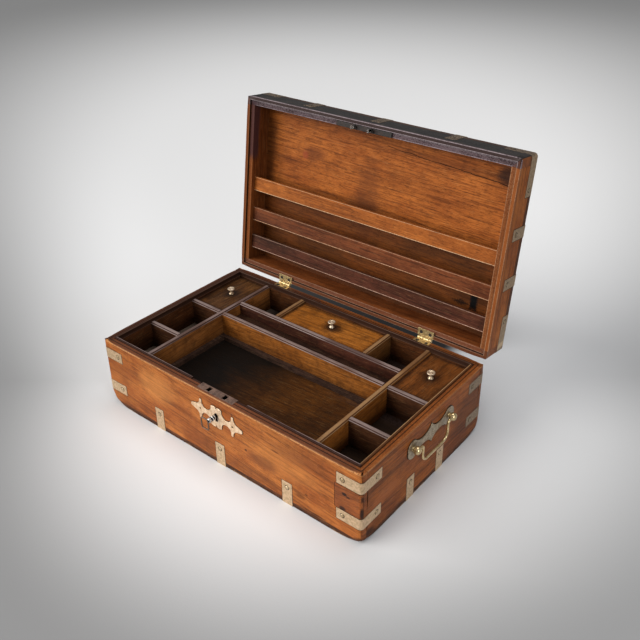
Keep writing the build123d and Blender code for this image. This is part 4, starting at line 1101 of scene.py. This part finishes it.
def screws_tree():
    """Sets one screw head on each point, facing as the point says and turned at random."""
    tree = bpy.data.node_groups.new("screws", "GeometryNodeTree")
    sockets = {
        "Places": "Geometry", "Head": "Object", "Radius": "Float", "Rise": "Float", "Seed": "Int",
        "Brass": "Material",
    }
    for label, kind in sockets.items():
        tree.interface.new_socket(label, in_out="INPUT", socket_type="NodeSocket" + kind)
    tree.interface.new_socket("Screws", in_out="OUTPUT", socket_type="NodeSocketGeometry")

    def add(kind, settings=None, values=None, output=0):
        return add_node(tree, kind, settings, values).outputs[output]

    given = add_node(tree, "NodeGroupInput").outputs
    radius, rise = given["Radius"], given["Rise"]
    vector = {"data_type": "FLOAT_VECTOR"}
    facing = add("GeometryNodeInputNamedAttribute", vector, {"Name": "facing"})
    upright = add("FunctionNodeAlignRotationToVector", {"axis": "Z"}, {"Vector": facing})
    half_turn = {2: 0.0, 3: pi, "Seed": given["Seed"]}
    turn = add("FunctionNodeRandomValue", {"data_type": "FLOAT"}, half_turn, 1)
    spin = add("ShaderNodeCombineXYZ", None, {2: turn})
    spun = add("FunctionNodeEulerToRotation", None, {0: spin})
    local = {"rotation_space": "LOCAL"}
    turned_head = add("FunctionNodeRotateRotation", local, {0: upright, 1: spun})
    size = add("ShaderNodeCombineXYZ", None, {0: radius, 1: radius, 2: rise})
    head = add("GeometryNodeObjectInfo", None, {"Object": given["Head"]}, "Geometry")
    on_points = {"Points": given["Places"], "Instance": head, "Rotation": turned_head}
    placed = add("GeometryNodeInstanceOnPoints", None, {**on_points, "Scale": size})
    real = add("GeometryNodeRealizeInstances", None, {0: placed})
    finished = add("GeometryNodeSetMaterial", None, {"Geometry": real, "Material": given["Brass"]})
    add_node(tree, "NodeGroupOutput", None, {0: finished})
    return tree


def separate_solids(node, in_lid):
    """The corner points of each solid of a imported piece."""
    bm = merged(node, in_lid)
    left = set(bm.verts)
    groups = []
    while left:
        group, reached = [], [left.pop()]
        while reached:
            vert = reached.pop()
            group.append(vert.co.copy())
            for edge in vert.link_edges:
                other = edge.other_vert(vert)
                if other in left:
                    left.remove(other)
                    reached.append(other)
        groups.append(group)
    bm.free()
    return groups


SCREW_RISE = 1.3


def screw_places(node, in_lid):
    """Where each head meets its strap and which way it faces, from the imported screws."""
    places = []
    for group in separate_solids(node, in_lid):
        low, high = [Vector(corner) for corner in extent(group)]
        middle = (low + high) / 2
        axis = max(range(3), key=lambda i: high[i] - low[i])
        out = Vector((0, 0, 0))
        out[axis] = 1.0 if middle[axis] > (0.0 if axis < 2 else -1.0) else -1.0
        tip = high[axis] if out[axis] > 0 else low[axis]
        point = middle.copy()
        point[axis] = tip - out[axis] * SCREW_RISE
        places.append((point, out))
    return places


screw_maker = screws_tree()
head_pattern = slotted_head()
ring = [(0.0, -0.5), (1.0, -0.5), (1.0, 0.4), (0.9, 1.0), (0.0, 1.0)]
ring_pattern = pattern_of("grime_pattern", ring, dirt_finish)


def set_screws(name, pattern, node, body, slot, finish, *, radius, rise, seed, replaced=None):
    """One head, or the ring of grime under it, at each packed screw."""
    points, facings = [], []
    for point, out in screw_places(node, body == "lid"):
        if body == "lid":
            out = swing(point + out, -LID_ANGLE) - swing(point, -LID_ANGLE)
            point = swing(point, -LID_ANGLE)
        points.append(point * 0.001)
        facings.append(out)
    mesh = bpy.data.meshes.new(name)
    mesh.from_pydata(points, [], [])
    attribute = mesh.attributes.new("facing", "FLOAT_VECTOR", "POINT")
    attribute.data.foreach_set("vector", [c for out in facings for c in out])
    made = put(name, mesh)
    setter = made.modifiers.new("screws", "NODES")
    setter.node_group = screw_maker
    given = {"Head": pattern, "Radius": radius * 0.001, "Rise": rise * 0.001, "Seed": seed}
    given["Brass"] = finish
    for item in screw_maker.interface.items_tree:
        if item.in_out == "INPUT" and item.name in given:
            setter[item.identifier] = given[item.name]
    settle(made)
    belongs(made, body, slot, replaced)


for part, body, seed in (("base", "chest", 3), ("lid", "lid", 8)):
    node = f"{part}_strap_screws"
    set_screws(f"{part}_screws", head_pattern, node, body, "screw_brass", screw_finish,
               radius=3.4, rise=1.25, seed=seed, replaced=node)
    set_screws(f"{part}_screw_grime", ring_pattern, node, body, "dark_wood", dirt_finish,
               radius=4.3, rise=0.12, seed=seed)

# Keyhole plate and lock: a thin fretted plate pinned to the front over a box lock that is let in
# to the top of the board. The lock's top plate shows two slots for the staples of the lid.
KEYHOLE_X, KEYHOLE_Z = -3.6, 97.6


def round_keyhole(x, y, z):
    """The blackened brass round the keyhole."""
    across, up = x - KEYHOLE_X, z - KEYHOLE_Z
    return (across * across / 22.0 + up * up / 70.0).rise(1.2, 0.85)


fret_brass = brass(
    "fret_brass", ("f2d6b4", "d8b28a", "8a6a4c"), tarnish=0.32, metal=0.4, rough=0.3, scale=0.12,
    soot=round_keyhole,
)


def inside_lock_shade(x, y, z):
    """All of the lock below its top plate, seen only through the keyhole, painted nearly black as
    the shade inside it.
    """
    return z.rise(BASE_TOP - 2.5, BASE_TOP - 4.0)


lock_brass = brass(
    "lock_plate_brass", ("8e7060", "6c5347", "35261e"), tarnish=0.7, metal=0.4, rough=0.4,
    soot=inside_lock_shade,
)
worked("escutcheon", "keyhole_plate", "chest", "strap_brass", fret_brass, bevel=0.55, segments=3)
grime_joint("escutcheon", "keyhole_plate", "chest", case)
set_screws("keyhole_plate_pins", head_pattern, "escutcheon_pins", "chest", "screw_brass",
           screw_finish, radius=2.4, rise=1.2, seed=5, replaced="escutcheon_pins")
for node in ("lock_case", "lock_cover"):
    worked(node, node + "_fine", "chest", "lock_brass", lock_brass, bevel=0.25)


def iron(name, tones, metal=0.55, rough=0.5, grooves=None):
    """Blackened iron, pitted, with a bloom of rust; grooves says where it is painted black as shade.
    """
    finish = Finish(name)
    place = finish.place()
    cloud = finish.noise(place, scale=0.12, detail=4.0)
    pit = finish.noise(place, scale=0.9, detail=4.0, roughness=0.65)
    black, grey, rust = tones
    colour = finish.over(black, (pit.rise(0.4, 0.65), grey), (cloud.rise(0.5, 0.7) * 0.6, rust))
    if grooves:
        colour = finish.mix(grooves(*finish.parts(place)), colour, "0b0908")
    finish.wear(
        Base_Color=colour,
        Metallic=metal - 0.3 * cloud,
        Roughness=rough + 0.25 * (pit - 0.5),
        Normal=finish.bump(pit, 0.00025),
    )
    return finish.material


dark_iron = iron("dark_iron_skin", ("1d1917", "38312d", "3a241a"))
rubbed_iron = iron("rubbed_iron_skin", ("2a2623", "aaa49e", "4a382c"), metal=0.85, rough=0.25)
worked("lock_bolt", "lock_bolt_fine", "bolt", "dark_iron", dark_iron, bevel=0.3)
worked("link_plate", "link_plate_fine", "lid", "dark_iron", dark_iron, bevel=0.5)
worked("link_staples", "staples_fine", "lid", "dark_iron", rubbed_iron, bevel=0.6)

# Key: a short bright steel shank with collars, left in the lock, and a long loop of thin steel
# wire for a bow that hangs from the knuckle at its end.
KEY_X, KEY_Z, KEY_TURN = -4.5, 100.0, 31.0
SHANK_FRONT = -BACK - 16.5


def key_groove_shade(x, y, z):
    """Painted shade in the hollows between the collars of the shank and where it enters the lock,
    and a black tip.
    """
    along = y - SHANK_FRONT
    first = along.rise(2.4, 2.8) * along.rise(5.5, 5.1)
    second = along.rise(6.9, 7.3) * along.rise(10.0, 9.6)
    return first + second + along.rise(11.2, 11.6) + along.rise(-1.2, -1.7)


key_steel = iron(
    "key_steel_skin", ("b9b8b4", "e2e1dd", "7b6a5a"), metal=0.85, rough=0.24, grooves=key_groove_shade
)
wire_steel = iron("key_wire_skin", ("4a3428", "85705e", "5a3824"), metal=0.65, rough=0.32)
shank_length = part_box("key")[1].y * 1000.0 - SHANK_FRONT
shank = [
    (0.0, -2.2), (1.8, -2.0), (3.2, -1.2), (4.2, 0.2), (4.5, 1.4), (4.2, 2.7), (3.0, 3.1),
    (2.8, 4.9), (4.0, 5.3), (4.5, 6.0), (4.4, 7.0), (3.9, 7.6), (2.8, 7.9), (2.7, 9.3), (3.7, 9.7),
    (4.0, 10.5), (3.9, 11.4), (3.4, 12.1), (2.5, 12.6), (2.5, shank_length - 0.5),
    (2.1, shank_length), (0.0, shank_length),
]


def wire_loop(centre, width, height, corner, wire, tilt):
    """Wire bent to an upright oblong with round corners, in a plane that faces the front."""
    round_steps = 12
    spine = []
    for sx, sz, start in ((1, 1, 0), (-1, 1, 90), (-1, -1, 180), (1, -1, 270)):
        for step in range(7):
            angle = radians(start + 15 * step)
            x = sx * (width / 2 - corner) + corner * cos(angle)
            z = sz * (height / 2 - corner) + corner * sin(angle)
            spine.append((Vector((x, 0, z)), Vector((cos(angle), 0, sin(angle)))))
    lean = Matrix.Rotation(radians(-tilt), 4, "Y")
    bm = bmesh.new()
    rows = []
    turns = [2 * pi * j / round_steps for j in range(round_steps)]
    section = [(wire * cos(turn), Vector((0, wire * sin(turn), 0))) for turn in turns]
    for place, out in spine:
        ring = [place + out * away + forward for away, forward in section]
        rows.append([bm.verts.new(lean @ point + Vector(centre)) for point in ring])
    for row, after in zip(rows, rows[1:] + rows[:1]):
        for j in range(round_steps):
            n = (j + 1) % round_steps
            bm.faces.new([row[j], after[j], after[n], row[n]])
    bmesh.ops.recalc_face_normals(bm, faces=bm.faces)
    return bm


shank_piece = turned(
    "key_shank", shank, (KEY_X, SHANK_FRONT, KEY_Z), (0, 1, 0), key_steel, steps=28
)
bit = block(size=(1.9, 4.9, 9.6), middle=(0.0, 11.5 - BACK, -5.2))
key_turned = Matrix.Rotation(radians(KEY_TURN), 3, "Y")
bmesh.ops.rotate(bit, cent=(0, 0, 0), matrix=key_turned, verts=bit.verts)
bmesh.ops.translate(bit, vec=(KEY_X, 0, KEY_Z), verts=bit.verts)
loop_centre = (KEY_X - 11.4, SHANK_FRONT + 1.2, KEY_Z - 11.6)
loop = wire_loop(loop_centre, width=15.6, height=20.6, corner=3.8, wire=1.2, tilt=2.0)
belongs(shank_piece, "key", "key_steel", "key")
belongs(plain("key_bit", bit, key_steel, crease=50.0), "key", "key_steel")
belongs(plain("key_bow", loop, wire_steel, crease=50.0), "key", "key_steel")

# Hinges: two small cast brass butts let in to the back boards, with five knuckles on a pin.
hinge_finish = brass(
    "hinge_brass_skin", ("d2ba88", "a58856", "3a2a1c"), tarnish=0.65, metal=0.7, rough=0.3,
    scale=0.3,
)
worked("hinge_pins", "hinge_pins_fine", "chest", "hinge_brass", hinge_finish, bevel=0.25)
for leaf, body in (("hinge_lower", "chest"), ("hinge_upper", "lid")):
    worked(leaf + "_leaves", leaf, body, "hinge_brass", hinge_finish, bevel=0.25)
    worked(leaf + "_screws", leaf + "_screws_fine", body, "dark_iron", dark_iron, bevel=0.12)

# Drop handles: a shaped brass plate on each end, two posts with ball heads bolted through the
# wall, and a bail of drawn brass rod whose turned-out ends swing in the posts.
handle_finish = brass(
    "handle_brass_skin", ("e2cb9c", "bb9f6b", "6a5030"), tarnish=0.35, metal=0.8, rough=0.24
)
plate_finish = brass(
    "handle_plate_brass", ("a8987e", "85755c", "463524"), tarnish=0.5, metal=0.55, rough=0.28
)
worked("handle_backplates", "handle_plates", "chest", "strap_brass", plate_finish, bevel=0.9,
       segments=3)
grime_joint("handle_backplates", "handle_plates", "chest", case)
BASE_WALL, POST_HEIGHT, POST_FRONT, POST_REAR = 12.8, 98.5, -43.0, 59.0
post_profile = [
    (0.0, 0.0), (2.5, 0.0), (2.5, 14.7), (4.6, 14.8), (4.7, 15.2), (4.2, 15.7), (4.1, 16.1),
    (4.9, 16.8), (5.9, 17.9), (6.6, 19.3), (6.9, 20.8), (6.9, 22.3), (6.5, 23.8), (5.8, 25.1),
    (4.7, 26.2), (3.2, 26.9), (1.6, 27.3), (0.0, 27.4),
]
for side, out in (("left", -1), ("right", 1)):
    for place, y in (("front", POST_FRONT), ("rear", POST_REAR)):
        foot = (out * (RIGHT - BASE_WALL), y, POST_HEIGHT)
        post = turned(f"handle_post_{side}_{place}", post_profile, foot, (out, 0, 0), handle_finish)
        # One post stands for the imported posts, which are one piece.
        first = side == "left" and place == "front"
        belongs(post, "chest", "handle_brass", "handle_posts" if first else None)
    worked(f"handle_bail_{side}", f"bail_{side}", f"{side}_bail", "handle_brass", handle_finish,
           bevel=0.3)
worked("handle_nuts", "handle_nuts_fine", "chest", "handle_brass", handle_finish, bevel=0.3)

for pattern in (head_pattern, ring_pattern):
    bpy.data.objects.remove(pattern)
